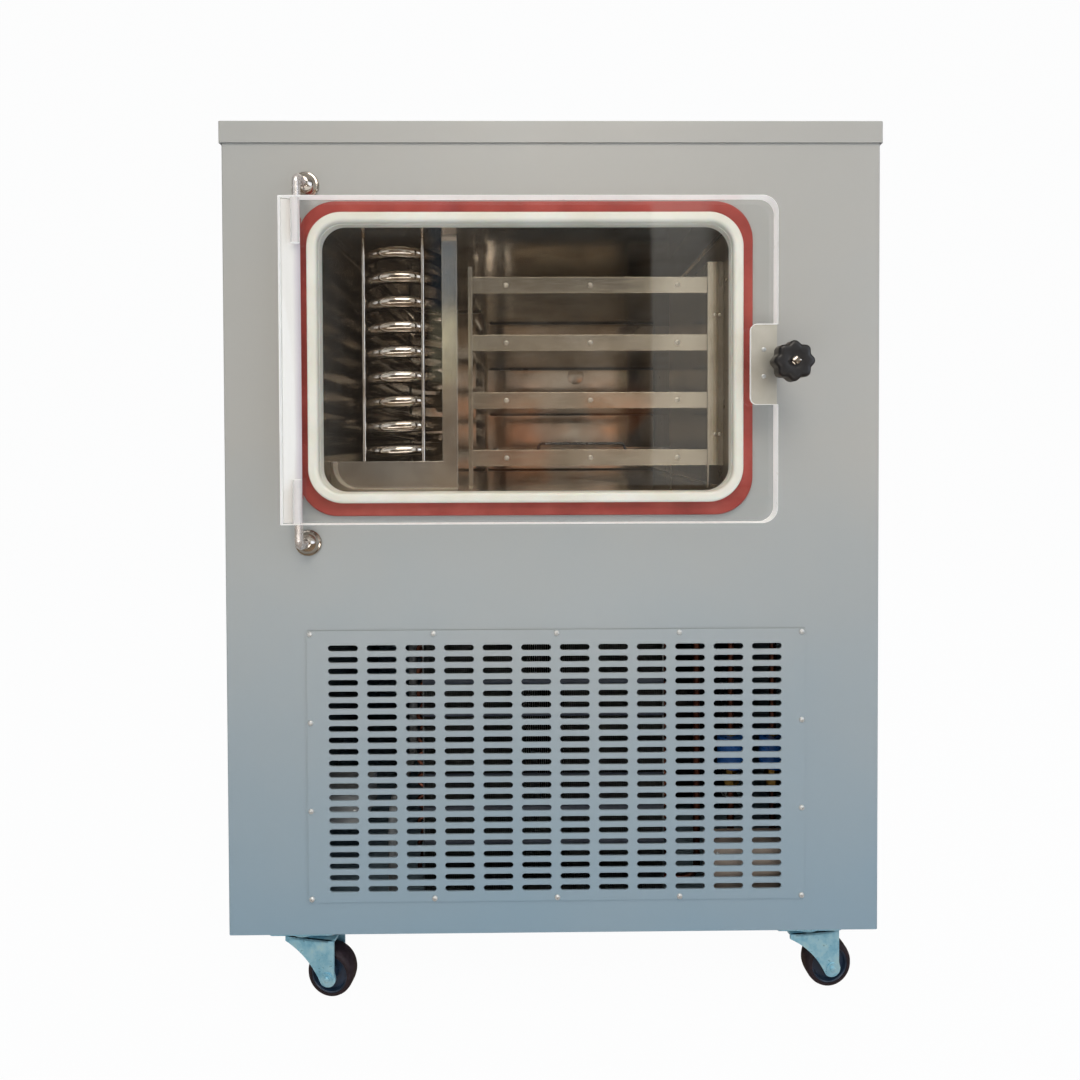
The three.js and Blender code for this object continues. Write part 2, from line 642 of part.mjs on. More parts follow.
// One folded sheet: the dam across the trap, the upright flange and the wall beside the shelves.
function trapScreen() {
  const { x, flange, sheet, front, depth, sill } = SCREEN;
  const [low, high] = [CHAMBER_FLOOR + GAP, CHAMBER_CEILING - GAP];
  const left = NECK.x - CHAMBER.width / 2 + GAP;
  const corner = CHAMBER.corner;
  const face = new THREE.Shape();
  face.moveTo(left, sill);
  face.lineTo(left, low + corner);
  face.absarc(left + corner, low + corner, corner, Math.PI, Math.PI * 1.5);
  face.lineTo(x + flange, low);
  face.lineTo(x + flange, high);
  face.lineTo(x, high);
  face.lineTo(x, sill);
  return join(
    slab(face, front, front + sheet),
    block([x, x + sheet], [front, front + depth], [low, high]),
  );
}

function shelf(bottom) {
  const { left, right, front, depth, bar, lip, plate } = SHELF;
  const [y0, y1, y2] = [FRONT + front, FRONT + front + lip, FRONT + front + depth];
  const section = outline([
    [y0, bottom], [y2, bottom], [y2, bottom + plate], [y1, bottom + plate],
    [y1, bottom + bar], [y0, bottom + bar],
  ]);
  return alongX(section, left, right);
}

function shelfPost(depth) {
  const right = SHELF.left - GAP;
  return block([right - POST.width, right], [depth, depth + POST.depth], [CHAMBER_FLOOR + GAP, POST.top]);
}

// An angle that carries the shelves' right ends: a front flange, a web, and two legs to the floor.
function shelfSidePlate() {
  const { sheet, top, footGap } = SIDE_PLATE;
  const left = SHELF.right + GAP;
  const right = NECK.x + CHAMBER.width / 2 - GAP;
  const [front, back] = [SHELF.front, SHELF.front + SHELF.depth];
  const leg = (start) => block(
    [left, left + sheet], [start, start + POST.depth], [CHAMBER_FLOOR + footGap, SHELF.lowest + 1],
  );
  return join(
    block([left, right], [front, front + sheet], [SHELF.lowest, top]),
    block([left, left + sheet], [front, back], [SHELF.lowest, top]),
    leg(front),
    leg(POST.rear),
  );
}

const TRAY_BOTTOM = SHELF.lowest + SHELF.plate + GAP;

function tray() {
  const { left, right, front, back, height, wall, corner } = TRAY;
  const [x, y] = [(left + right) / 2, FRONT + (front + back) / 2];
  const [width, depth] = [right - left, back - front];
  return cut(
    upright(roundedRect(x, y, width, depth, corner), TRAY_BOTTOM, TRAY_BOTTOM + height),
    upright(roundedRect(x, y, width - 2 * wall, depth - 2 * wall, corner - wall),
      TRAY_BOTTOM + wall, TRAY_BOTTOM + height + PAST),
  );
}

function trayHandle() {
  const { left, right, front, rise, wire, bend } = HANDLE;
  const foot = TRAY_BOTTOM + TRAY.wall + GAP;
  const top = TRAY_BOTTOM + rise;
  const corners = [[left, front, foot], [left, front, top], [right, front, top], [right, front, foot]];
  return bentRod(corners, bend, wire, 8, 3);
}

// ---------------------------------------------------------------------------------------------------------
// Refrigeration unit and services
// ---------------------------------------------------------------------------------------------------------

function condenserCore() {
  const { left, right, front, back, top, tube, tubes, pitch, first } = CONDENSER;
  const parts = [block([left, right], [front, back], [PAN_FLOOR + GAP, top])];
  for (let i = 0; i < tubes; i++) {
    const row = new THREE.CylinderGeometry(tube, tube, right - left, 8).rotateZ(Math.PI / 2);
    parts.push(row.translate((left + right) / 2, FRONT + front - tube + 0.5, first + i * pitch));
  }
  return join(...parts);
}

function fanShroud() {
  const { left, right, back, top } = CONDENSER;
  const { sheet } = SHROUD;
  const [near, far] = [back + GAP, SHROUD.back];
  const low = PAN_FLOOR + GAP;
  return cut(
    block([left, right], [near, far], [low, top]),
    block([left + sheet, right - sheet], [near - PAST, far - sheet], [low + sheet, top - sheet]),
    turnedAlongY(FAN.x, FAN.z, [[0, far - 2 * sheet], [FAN.duct, far - 2 * sheet],
      [FAN.duct, far + PAST], [0, far + PAST]], 28),
  );
}

function fanRotor() {
  const { x, z, tip, hub, root, blades, chord, blade, pitch, middle } = FAN;
  const bore = MOTOR.shaft + 0.5;
  const parts = [turnedAlongY(0, 0, [[0, middle - 15], [root, middle - 15], [hub, middle - 11],
    [hub, middle + 15], [bore, middle + 15], [bore, middle - 6], [0, middle - 6]])];
  for (let i = 0; i < blades; i++) {
    const plate = new THREE.BoxGeometry(tip - root, blade, chord)
      .rotateX(THREE.MathUtils.degToRad(pitch))
      .translate((tip + root) / 2, FRONT + middle, 0)
      .rotateY((i / blades) * 2 * Math.PI);
    parts.push(plate);
  }
  return join(...parts).translate(x, 0, z);
}

function fanMotor() {
  const { radius, length, shaft, arms, arm, armSheet, reach, chamfer } = MOTOR;
  const front = SHROUD.back + GAP;
  const back = front + length;
  const shaftEnd = FAN.middle - 4;
  const parts = [turnedAlongY(0, 0, [[0, shaftEnd], [shaft, shaftEnd], [shaft, front], [radius, front],
    [radius, back - chamfer], [radius - chamfer, back], [0, back]])];
  for (let i = 0; i < arms; i++) {
    const angle = Math.PI / 2 + (i / arms) * 2 * Math.PI;
    parts.push(block([radius - 6, reach], [front, front + armSheet], [-arm / 2, arm / 2]).rotateY(-angle));
  }
  return join(...parts).translate(FAN.x, 0, FAN.z);
}

// A welded pot on a foot plate, with four rubber feet under it.
function compressor() {
  const { x, depth, radius, height, base, foot, bolt } = COMPRESSOR;
  const top = base + height;
  const pot = turnedAlongZ(x, depth, [[0, top], [radius - 50, top], [radius - 15, top - 18],
    [radius, top - 48], [radius, base + 30], [radius - 20, base + 4], [0, base + 4]], 20);
  const plate = block([x - foot, x + foot], [depth - foot, depth + foot], [base - 1, base + 5]);
  const feet = [-bolt, bolt].flatMap((u) => [-bolt, bolt].map((v) => turnedAlongZ(x + u, depth + v,
    [[0, base], [11, base], [13, PAN_FLOOR + GAP], [0, PAN_FLOOR + GAP]], 8)));
  return join(pot, plate, ...feet);
}

// A refrigerant riser with a solenoid valve and its coil brazed into it.
function solenoidLine(x) {
  const { depth, coil, low, high, pipe } = SOLENOID;
  const top = DECK_TOP - 3 - GAP;
  const [nut, nutTop] = [8, high + 9];
  const [body, bodyLow, neckLow] = [12, low - 30, low - 34];
  return turnedAlongZ(x, depth, [
    [0, top], [pipe, top], [pipe, nutTop], [nut, nutTop], [nut, high], [coil, high], [coil, low], [body, low],
    [body, bodyLow], [pipe, neckLow], [pipe, PAN_FLOOR + GAP], [0, PAN_FLOOR + GAP],
  ], 10);
}

// From the condenser up, back and down on to the compressor.
function dischargePipe() {
  const { x, depth, low, high, bend, pipe } = DISCHARGE;
  const end = COMPRESSOR.base + COMPRESSOR.height + GAP;
  return bentRod([
    [CONDENSER.right + GAP, depth, low], [x, depth, low], [x, depth, high],
    [x, COMPRESSOR.depth, high], [x, COMPRESSOR.depth, end],
  ], bend, pipe);
}

function drainPipe() {
  const { x, front, back, pipe, rise, bend, spigot, low } = DRAIN;
  const top = CHAMBER_FLOOR - CHAMBER.wall - GAP;
  const collarTop = CABINET.bottom - GAP;
  return join(
    bentRod([[x, front, low + 1], [x, front, rise], [x, back, rise], [x, back, top]], bend, pipe),
    turnedAlongZ(x, front, [[0, collarTop], [spigot, collarTop], [spigot, low], [0, low]], 12),
  );
}

function terminalBox() {
  const { left, right, front, back, top } = TERMINAL_BOX;
  return block([left, right], [front, back], [PAN_FLOOR + GAP, top]);
}

function relayBox() {
  const { right, front, back, bottom, top } = RELAY_BOX;
  return block([-CABINET.width / 2 + CABINET.sheet + GAP, right], [front, back], [bottom, top]);
}

function vacuumPort() {
  const { x, z, bore, wall, flange, end } = PORT;
  const start = CHAMBER.depth + CHAMBER.wall + GAP;
  return turnedAlongY(x, z, [[bore, start], [bore + wall, start], [bore + wall, end - 8], [flange, end - 4],
    [flange, end], [bore, end], [bore, start]]);
}

// A flanged inlet with a hollow for the connector.
function powerInlet() {
  const { x, z, width, height, flange, bodyWidth, bodyHeight, depth } = INLET;
  const { socketWidth, socketHeight, socketDepth } = INLET;
  const span = (centre, size) => [centre - size / 2, centre + size / 2];
  const back = CABINET.depth + GAP;
  return cut(
    join(
      block(span(x, width), [back, back + flange], span(z, height)),
      block(span(x, bodyWidth), [back - depth, back + 1], span(z, bodyHeight)),
    ),
    block(span(x, socketWidth), [back - socketDepth, back + flange + PAST], span(z, socketHeight)),
  );
}

// ---------------------------------------------------------------------------------------------------------
// Casters
// ---------------------------------------------------------------------------------------------------------

const AXLE_HEIGHT = CASTER.wheel * Math.cos(Math.PI / CASTER.sides); // a flat of the faceted tread is down

// A top plate with the ball race under it, and the kingpin whose head holds the fork's crown.
function casterPlate() {
  const { plateWidth, plateDepth, top, drum, race, kingpin } = CASTER;
  const sheet = 3;
  const [upper, lower] = [CROWN.high + GAP, CROWN.low - GAP];
  const plate = new THREE.BoxGeometry(plateWidth, plateDepth, sheet).translate(0, 0, top - sheet / 2);
  const pin = turnedAlongZ(0, -FRONT, [[0, top - 1], [drum, top - 1], [drum, upper + 6],
    [drum - 4, upper + 4], [race, upper + 4], [race, upper], [kingpin, upper], [kingpin, lower],
    [kingpin + 4, lower], [kingpin + 3, lower - 3], [0, lower - 3]], 12);
  return join(plate, pin);
}

// One stamping: a crown with two legs that narrow towards the axle, and the axle riveted into them.
function casterFork() {
  const { trail, axle, foot, heel, toe, fork, forkSheet, kingpin } = CASTER;
  const front = trail + toe;
  const crown = roundedRect((front - heel) / 2, 0, front + heel, 2 * fork, 8);
  const hole = new THREE.Path();
  hole.absarc(0, 0, kingpin + 0.8, 0, Math.PI * 2);
  crown.holes.push(hole);
  const leg = new THREE.Shape();
  leg.moveTo(-heel, CROWN.high);
  leg.lineTo(-heel, CROWN.low - 3);
  leg.quadraticCurveTo(trail / 4, CROWN.low - 20, trail - foot * 0.75, AXLE_HEIGHT - foot * 0.66);
  leg.absarc(trail, AXLE_HEIGHT, foot, Math.PI * 1.23, Math.PI * 2);
  leg.lineTo(front, CROWN.high);
  const legAt = (y) => slab(leg, -FRONT + y, -FRONT + y + forkSheet, 4);
  const length = 2 * fork + 6;
  const pin = new THREE.CylinderGeometry(axle, axle, length, 10).translate(trail, 0, AXLE_HEIGHT);
  return join(upright(crown, CROWN.low, CROWN.high), legAt(fork - forkSheet), legAt(-fork), pin);
}

// A tread that is highest in the middle, a web, and a hub, in one turned section.
function casterWheel() {
  const { wheel, width, bore, sides } = CASTER;
  const half = width / 2;
  const [hub, web, rim, shoulder] = [9, 5, wheel - 7, wheel - 3];
  const profile = [
    [bore, -half - 1], [hub, -half - 1], [hub + 2, -web], [rim - 2, -web], [rim, -half], [shoulder, -half],
    [wheel, -half / 2], [wheel, half / 2],
    [shoulder, half], [rim, half], [rim - 2, web], [hub + 2, web], [hub, half + 1], [bore, half + 1],
    [bore, -half - 1],
  ];
  return turned(profile, sides).rotateY(Math.PI / sides);
}

function addCaster(name, { x, depth, swivel }) {
  const place = new THREE.Group();
  place.position.set(x, FRONT + depth, 0);
  dryer.add(place);
  add(`${name}_caster_plate`, "zinc", casterPlate(), place);
  const turning = new THREE.Group();
  turning.rotation.z = THREE.MathUtils.degToRad(swivel);
  place.add(turning);
  add(`${name}_caster_fork`, "zinc", casterFork(), turning);
  add(`${name}_caster_wheel`, "tyre", casterWheel(), turning).position.set(CASTER.trail, 0, AXLE_HEIGHT);
}

// ---------------------------------------------------------------------------------------------------------
// Assembly
// ---------------------------------------------------------------------------------------------------------

add("base_pan", "paint", basePan());
add("left_side_panel", "paint", sidePanel(-1));
add("right_side_panel", "paint", sidePanel(1));
add("rear_panel", "paint", rearPanel());
add("front_panel", "paint", frontPanel());
add("top_cover", "paint", topCover());
add("vent_panel", "paint", ventPanel());
add("chamber_deck", "galvanised", chamberDeck());

add("chamber_shell", "stainless", chamberShell());
add("chamber_back", "stainless", chamberBack());
add("insulation_jacket", "foam", insulationJacket());
add("mouth_gasket", "silicone", mouthGasket());
add("neck_seal", "redSilicone", neckSeal());

add("door_plate", "acrylic", doorPlate());
add("door_edge_strip", "whiteStrip", doorEdgeStrip());
add("latch_plate", "stainless", latchPlate());
add("clamp_washer", "stainless", clampWasher());
add("star_knob", "blackPlastic", starKnob());
add("clamp_bolt", "stainless", clampBolt());
add("latch_boss", "stainless", latchBoss());
add("upper_hinge_post", "stainless", hingePost(DOOR.top + HINGE.reach, DOOR.top - HINGE.insert));
add("lower_hinge_post", "stainless", hingePost(DOOR.bottom - HINGE.reach, DOOR.bottom + HINGE.insert));

add("trap_coil", "stainless", trapCoil());
add("coil_rod_left", "stainless", coilRod(TRAP.x - COIL_ROD.spacing / 2));
add("coil_rod_right", "stainless", coilRod(TRAP.x + COIL_ROD.spacing / 2));
add("trap_screen", "stainless", trapScreen());
for (let i = 0; i < SHELF.count; i++) {
  add(`shelf_${SHELF.count - i}`, "stainless", shelf(SHELF.lowest + i * SHELF.pitch));
}
add("shelf_post_front", "stainless", shelfPost(SHELF.front));
add("shelf_post_rear", "stainless", shelfPost(POST.rear));
add("shelf_side_plate", "stainless", shelfSidePlate());
add("tray", "stainless", tray());
add("tray_handle", "blackEnamel", trayHandle());

add("condenser_core", "galvanised", condenserCore());
add("fan_shroud", "galvanised", fanShroud());
add("fan_rotor", "blackPlastic", fanRotor());
add("fan_motor", "blackEnamel", fanMotor());
add("compressor", "blackEnamel", compressor());
add("solenoid_line_left", "bluePlastic", solenoidLine(SOLENOID.left));
add("solenoid_line_right", "bluePlastic", solenoidLine(SOLENOID.right));
add("discharge_pipe", "copper", dischargePipe());
add("drain_pipe", "greyPlastic", drainPipe());
add("terminal_box", "beigePlastic", terminalBox());
add("relay_box", "greyPlastic", relayBox());
add("vacuum_port", "stainless", vacuumPort());
add("power_inlet", "blackPlastic", powerInlet());

for (const [name, place] of Object.entries(CASTERS)) {
  addCaster(name, place);
}

export default dryer;
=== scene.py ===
"""Freeze dryer: the visible pieces of a cabinet freeze dryer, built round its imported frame, in metres."""

import json
import math

import bmesh
import bpy
from bpy.props import FloatProperty, FloatVectorProperty, IntProperty, PointerProperty
from bpy.types import NodeSocket, Operator, Panel, PropertyGroup
from mathutils import Matrix, Vector

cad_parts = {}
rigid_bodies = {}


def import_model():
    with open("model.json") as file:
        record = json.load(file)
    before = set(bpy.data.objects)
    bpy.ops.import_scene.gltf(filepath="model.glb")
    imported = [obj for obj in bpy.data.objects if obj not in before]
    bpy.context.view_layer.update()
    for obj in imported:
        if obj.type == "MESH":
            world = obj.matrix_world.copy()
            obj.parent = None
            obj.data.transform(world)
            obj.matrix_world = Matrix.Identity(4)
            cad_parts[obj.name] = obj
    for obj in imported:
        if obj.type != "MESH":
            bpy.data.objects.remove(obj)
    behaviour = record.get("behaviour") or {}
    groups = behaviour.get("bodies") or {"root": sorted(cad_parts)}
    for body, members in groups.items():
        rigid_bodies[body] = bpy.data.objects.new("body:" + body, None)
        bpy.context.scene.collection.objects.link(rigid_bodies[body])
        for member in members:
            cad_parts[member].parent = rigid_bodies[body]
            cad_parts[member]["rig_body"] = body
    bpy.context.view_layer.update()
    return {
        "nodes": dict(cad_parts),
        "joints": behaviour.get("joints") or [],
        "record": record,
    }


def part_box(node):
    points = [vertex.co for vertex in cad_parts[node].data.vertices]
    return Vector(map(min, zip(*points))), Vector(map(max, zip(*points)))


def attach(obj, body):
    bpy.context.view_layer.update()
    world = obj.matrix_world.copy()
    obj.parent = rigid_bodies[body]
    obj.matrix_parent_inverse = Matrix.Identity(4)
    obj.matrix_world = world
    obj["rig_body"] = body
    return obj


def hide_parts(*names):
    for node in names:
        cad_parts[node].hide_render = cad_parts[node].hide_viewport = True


bl_info = {
    "name": "Freeze dryer",
    "version": (1, 0, 0),
    "blender": (4, 5, 0),
    "location": "3D View > Sidebar > Freeze dryer",
    "description": "Builds the visible pieces of a cabinet freeze dryer round its packed frame",
    "category": "Add Mesh",
}

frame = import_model()
JOINTS = {joint["name"]: joint for joint in frame["joints"]}

MM = 0.001
FULL_TURN = 2 * math.pi
RIGHT, REARWARD, UP = Vector((1, 0, 0)), Vector((0, 1, 0)), Vector((0, 0, 1))
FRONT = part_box("front_panel")[0].y  # outer face of the front panel
GAP = 0.3 * MM  # left between pieces that touch


# ----------------------------------------------------------------------------------------------------------
# Nodes and finishes
# ----------------------------------------------------------------------------------------------------------


def linear(hex_colour):
    """An sRGB hex colour as the linear RGBA that a socket takes."""
    parts = [int(hex_colour[i : i + 2], 16) / 255 for i in (1, 3, 5)]
    return tuple(p / 12.92 if p <= 0.04045 else ((p + 0.055) / 1.055) ** 2.4 for p in parts) + (1.0,)


def add_node(tree, kind, inputs=None, **settings):
    """Adds a node, applies its settings, then sets or links the inputs given by name or number."""
    made = tree.nodes.new(kind)
    for name, value in settings.items():
        setattr(made, name, value)
    for key, value in (inputs or {}).items():
        if isinstance(value, NodeSocket):
            tree.links.new(value, made.inputs[key])
        else:
            made.inputs[key].default_value = value
    return made


def computed(tree, operation, first, second=0.0):
    """The output of a Math node."""
    return add_node(tree, "ShaderNodeMath", {0: first, 1: second}, operation=operation).outputs[0]


def ramp(tree, factor, stops):
    """A colour ramp through (position, hex colour or grey level) stops."""
    made = add_node(tree, "ShaderNodeValToRGB", {"Fac": factor})
    elements = made.color_ramp.elements
    while len(elements) < len(stops):
        elements.new(0.5)
    for element, (position, colour) in zip(elements, stops):
        element.position = position
        element.color = linear(colour) if isinstance(colour, str) else (colour, colour, colour, 1.0)
    return made.outputs["Color"]


class Finish:
    """A material with a Principled shader, whose patterns lie in Object coordinates at sizes in millimetres."""

    made = {}

    def __init__(self, name, **sockets):
        self.material = bpy.data.materials.new(name)
        self.material.use_nodes = True
        self.tree = self.material.node_tree
        self.tree.nodes.clear()
        self.shader = add_node(
            self.tree, "ShaderNodeBsdfPrincipled", {k.replace("_", " "): v for k, v in sockets.items()}
        )
        self.output = add_node(self.tree, "ShaderNodeOutputMaterial", {"Surface": self.shader.outputs[0]})
        self.place = add_node(self.tree, "ShaderNodeTexCoord").outputs["Object"]

    def along(self, x, y, z):
        """Object coordinates stretched so that a 1 mm pattern is x, y and z times as long on each axis."""
        inputs = {"Vector": self.place, "Scale": (1 / x, 1 / y, 1 / z)}
        return add_node(self.tree, "ShaderNodeMapping", inputs).outputs[0]

    def noise(self, size, detail=2.0, roughness=0.5, place=None):
        """Noise whose patches are about this many millimetres across."""
        inputs = {"Vector": place or self.place, "Scale": 1 / (size * MM), "Detail": detail}
        inputs["Roughness"] = roughness
        return add_node(self.tree, "ShaderNodeTexNoise", inputs).outputs["Fac"]

    def cells(self, size):
        """A random grey level for each cell about this many millimetres across."""
        inputs = {"Vector": self.place, "Scale": 1 / (size * MM)}
        colour = add_node(self.tree, "ShaderNodeTexVoronoi", inputs).outputs["Color"]
        return add_node(self.tree, "ShaderNodeSeparateColor", {0: colour}).outputs[0]

    def coloured(self, pattern, *hexes, low=0.3, high=0.7):
        """Base colour from a few colours spread over a pattern's usual range."""
        step = (high - low) / (len(hexes) - 1)
        stops = [(low + i * step, shade) for i, shade in enumerate(hexes)]
        return self.link("Base Color", ramp(self.tree, pattern, stops))

    def rough(self, pattern, least, most, low=0.3, high=0.7):
        inputs = {"Value": pattern, "From Min": low, "From Max": high, "To Min": least, "To Max": most}
        return self.link("Roughness", add_node(self.tree, "ShaderNodeMapRange", inputs).outputs[0])

    def bumped(self, *layers):
        """Bump from (pattern, height in millimetres) layers."""
        normal = None
        for pattern, height in layers:
            inputs = {"Height": pattern, "Distance": height * MM, "Strength": 1.0}
            if normal is not None:
                inputs["Normal"] = normal
            normal = add_node(self.tree, "ShaderNodeBump", inputs).outputs[0]
        return self.link("Normal", normal)

    def link(self, socket, source):
        self.tree.links.new(source, self.shader.inputs[socket])
        return self


def finish(recipe):
    """The material that a recipe gives, made once."""
    if recipe not in Finish.made:
        Finish.made[recipe] = recipe().material
    return Finish.made[recipe]


def powder_coat():
    """Polyester powder coat, satin: a fine orange peel softens reflections. The colour is painted light: bluer low
    down, standing in for cool light from the floor, and warmer high up, standing in for warm light from above.
    """
    colours = bpy.context.scene.dryer_cabinet
    made = Finish("satin_powder_coat", Specular_IOR_Level=0.45)
    height = add_node(made.tree, "ShaderNodeSeparateXYZ", {0: made.place}).outputs["Z"]
    # painted light: the paint turns bluer towards the bottom and warmer towards the top
    rise = span(made.tree, height, 0.05, 0.76)
    share = computed(made.tree, "ADD", rise, computed(made.tree, "MULTIPLY", made.noise(240, 3.0, 0.6), 0.3))
    share = computed(made.tree, "SUBTRACT", share, 0.15)
    cool, warm = (*colours.paint_low_painted_bounce, 1.0), (*colours.paint_high_painted_light, 1.0)
    made.link("Base Color", blend_colours(made.tree, share, cool, warm))
    made.rough(made.noise(70, 4.0, 0.6), 0.36, 0.47)
    return made.bumped((made.noise(2.4), 0.035))


def galvanised():
    """Hot-dip galvanised sheet: frosty spangles about 9 mm across, each with its own grey and its own gloss."""
    made = Finish("hot_dip_galvanised_sheet", Metallic=0.9)
    spangle = made.cells(9)
    made.coloured(spangle, "#7f878b", "#99a1a5", "#b1b8bb", low=0.0, high=1.0)
    made.rough(spangle, 0.34, 0.52, low=0.0, high=1.0)
    return made.bumped((made.noise(14), 0.05))


def mirror_steel(name="mirror_polished_stainless", colours=("#b5aca0", "#cdc6bc", "#d6d1c9")):
    """Stainless sheet polished to a mirror: faint buffing lines, and a slow waviness that bends reflections."""
    made = Finish(name, Metallic=0.88)
    made.coloured(made.noise(70, 3.0), *colours)
    made.rough(made.noise(45, 4.0, 0.65), 0.05, 0.16)
    return made.bumped((made.noise(90, 1.0), 0.03), (made.noise(1.2, 2.0, 0.5, made.along(40, 1, 1)), 0.002))


def mirror_steel_painted_light():
    """The lining's rear plate: polished like the rest, in a paler copy of the steel; the paler colour is painted light
    that brightens the rear wall.
    """
    return mirror_steel("mirror_stainless_painted_light", ("#cdc3b5", "#e0d8cc", "#e6e1d8"))


def buffed_steel_painted_shade():
    """The lining's right wall, buffed less than the rest, with soft upright streaks; its darker colour is painted
    shade that dims the wall.
    """
    made = Finish("buffed_stainless_painted_shade", Metallic=0.8)
    made.coloured(made.noise(7, 3.0, 0.6, made.along(1, 1, 30)), "#8f887e", "#a39c92")
    return made.rough(made.noise(45, 4.0, 0.65), 0.26, 0.36)


def brushed_steel():
    """Stainless sheet, belt-brushed: lines about 0.5 mm apart that stretch each highlight sideways."""
    made = Finish("brushed_stainless", Metallic=1.0)
    grain = made.noise(0.5, 3.0, 0.6, made.along(60, 1, 1))
    made.coloured(made.noise(50, 3.0), "#a59e93", "#bdb7ac", "#c9c4bb")
    made.rough(grain, 0.24, 0.4)
    return made.bumped((grain, 0.012), (made.noise(45, 1.0), 0.1))


def ground_steel():
    """Stainless bar with a fine ground face: a clear reflection under a thin haze, with a grain along it."""
    made = Finish("fine_ground_stainless", Metallic=0.85)
    grain = made.noise(0.6, 3.0, 0.6, made.along(50, 1, 1))
    made.coloured(made.noise(60, 3.0), "#ab9f8b", "#bdb2a0", "#c8bfaf")
    made.rough(grain, 0.08, 0.2)
    return made.bumped((grain, 0.004), (made.noise(80, 1.0), 0.02))


def satin_steel():
    """Stainless plate with a satin finish: an even pale sheen from fine scratches that run up and down."""
    made = Finish("satin_stainless", Metallic=0.7)
    grain = made.noise(0.5, 3.0, 0.6, made.along(1, 1, 60))
    made.coloured(made.noise(30, 3.0), "#c3c1b6", "#d0cec5")
    made.rough(grain, 0.38, 0.5)
    return made.bumped((grain, 0.008))


def drilled_acrylic():
    """Wall of a drilled hole in acrylic: frosted by the drill, so it shows as a pale tube."""
    made = Finish("drilled_acrylic", IOR=1.49, Transmission_Weight=0.35, Base_Color=linear("#f8f5f6"))
    made.rough(made.noise(4), 0.3, 0.45)
    made.bumped((made.noise(1.5, 2.0, 0.5, made.along(4, 4, 1)), 0.02))
    return lets_lamps_through(made, "#f8f7f7")


def polished_steel_rod():
    """Turned and polished stainless: bright, with faint tool marks round it."""
    made = Finish("turned_stainless", Metallic=1.0)
    made.coloured(made.noise(20), "#bdb8b2", "#d2cfca")
    made.rough(made.noise(8, 3.0), 0.08, 0.2)
    return made.bumped((made.noise(0.8, 2.0, 0.5, made.along(1, 1, 12)), 0.003))


def nickel_rod():
    """Satin nickel on the hinge rods: pale, with soft upright highlights."""
    made = Finish("satin_nickel_plate", Metallic=0.7)
    made.coloured(made.noise(12), "#d9d6d6", "#e8e6e6")
    return made.rough(made.noise(5, 3.0), 0.2, 0.3)


def coil_steel():
    """Bent stainless tube, bright annealed and polished: wet-looking highlights with a faint haze."""
    made = Finish("bright_annealed_stainless_tube", Metallic=1.0)
    made.coloured(made.noise(40, 3.0), "#a99d90", "#cfc8c0", "#dad7d3")
    made.rough(made.noise(16, 3.0), 0.06, 0.15)
    return made.bumped((made.noise(9, 1.0), 0.05))


def blue_zinc():
    """Zinc plate with a blue passivation: cloudy cyan tints."""
    made = Finish("blue_passivated_zinc", Metallic=0.35)
    made.coloured(made.noise(16, 4.0, 0.6), "#78b4cf", "#8cc4db", "#a4d3e5", "#b2d9e2")
    made.rough(made.noise(7, 3.0), 0.26, 0.42)
    return made.bumped((made.noise(1.6), 0.004), (made.noise(20), 0.06))


def bright_zinc():
    """Bright zinc on screws and washers: pale, with small dull patches."""
    made = Finish("bright_zinc_plate", Metallic=0.5)
    made.coloured(made.noise(5), "#d0d4d6", "#dee1e2")
    return made.rough(made.noise(4), 0.24, 0.38)


def drawn_copper():
    """Drawn copper pipe: bright pink-brown that has gone darker and duller in places."""
    made = Finish("drawn_copper_tube", Metallic=1.0)
    made.coloured(made.noise(25, 4.0, 0.6), "#4b322c", "#764a3d", "#93604e")
    return made.rough(made.noise(12, 3.0), 0.22, 0.5)


def cast_brass():
    """Forged brass valve body: dull yellow with a grainy skin."""
    made = Finish("forged_brass", Metallic=1.0)
    made.coloured(made.noise(9, 3.0), "#8f7440", "#b89a58")
    made.rough(made.noise(5), 0.3, 0.5)
    return made.bumped((made.noise(0.9), 0.03))


def black_enamel():
    """Black stove enamel: a thin glossy skin over a slightly rough casting."""
    made = Finish("black_stove_enamel", Specular_IOR_Level=0.5)
    made.coloured(made.noise(60, 3.0), "#0d0e10", "#17191b")
    made.rough(made.noise(30, 4.0), 0.24, 0.42)
    return made.bumped((made.noise(3.0), 0.06))


def knob_phenolic():
    """Pressed phenolic: near black with a soft sheen and a fine eroded mould texture."""
    made = Finish("pressed_phenolic", Specular_IOR_Level=0.5)
    made.coloured(made.noise(6, 3.0), "#161618", "#202023")
    made.rough(made.noise(5), 0.3, 0.44)
    return made.bumped((made.noise(0.7), 0.03))


def black_nylon():
    """Moulded black polypropylene on the fan and the inlet: duller, with faint flow marks."""
    made = Finish("black_polypropylene", Specular_IOR_Level=0.4)
    made.coloured(made.noise(30, 4.0, 0.6), "#17181a", "#25272a")
    made.rough(made.noise(12), 0.42, 0.6)
    return made.bumped((made.noise(1.2), 0.02))


def moulded(name, *hexes):
    """Moulded ABS in one colour: an even fine texture, slightly darker in patches where dust has settled."""
    made = Finish(name, Specular_IOR_Level=0.45)
    made.coloured(made.noise(45, 4.0, 0.6), *hexes)
    made.rough(made.noise(20), 0.45, 0.6)
    return made.bumped((made.noise(0.9), 0.025))


def beige_abs():
    """Terminal box of beige ABS."""
    return moulded("beige_moulded_abs", "#a3948a", "#b9aba0")


def grey_abs():
    """Relay box and drain fitting of light grey ABS."""
    return moulded("light_grey_moulded_abs", "#8f9294", "#a9abac")


def blue_resin():
    """Solenoid coil potted in blue resin: a deep even colour under a hard gloss."""
    made = Finish("blue_potting_resin", Coat_Weight=0.3, Coat_Roughness=0.1)
    made.coloured(made.noise(14), "#1f55a0", "#2f6fc0")
    return made.rough(made.noise(8), 0.25, 0.38)


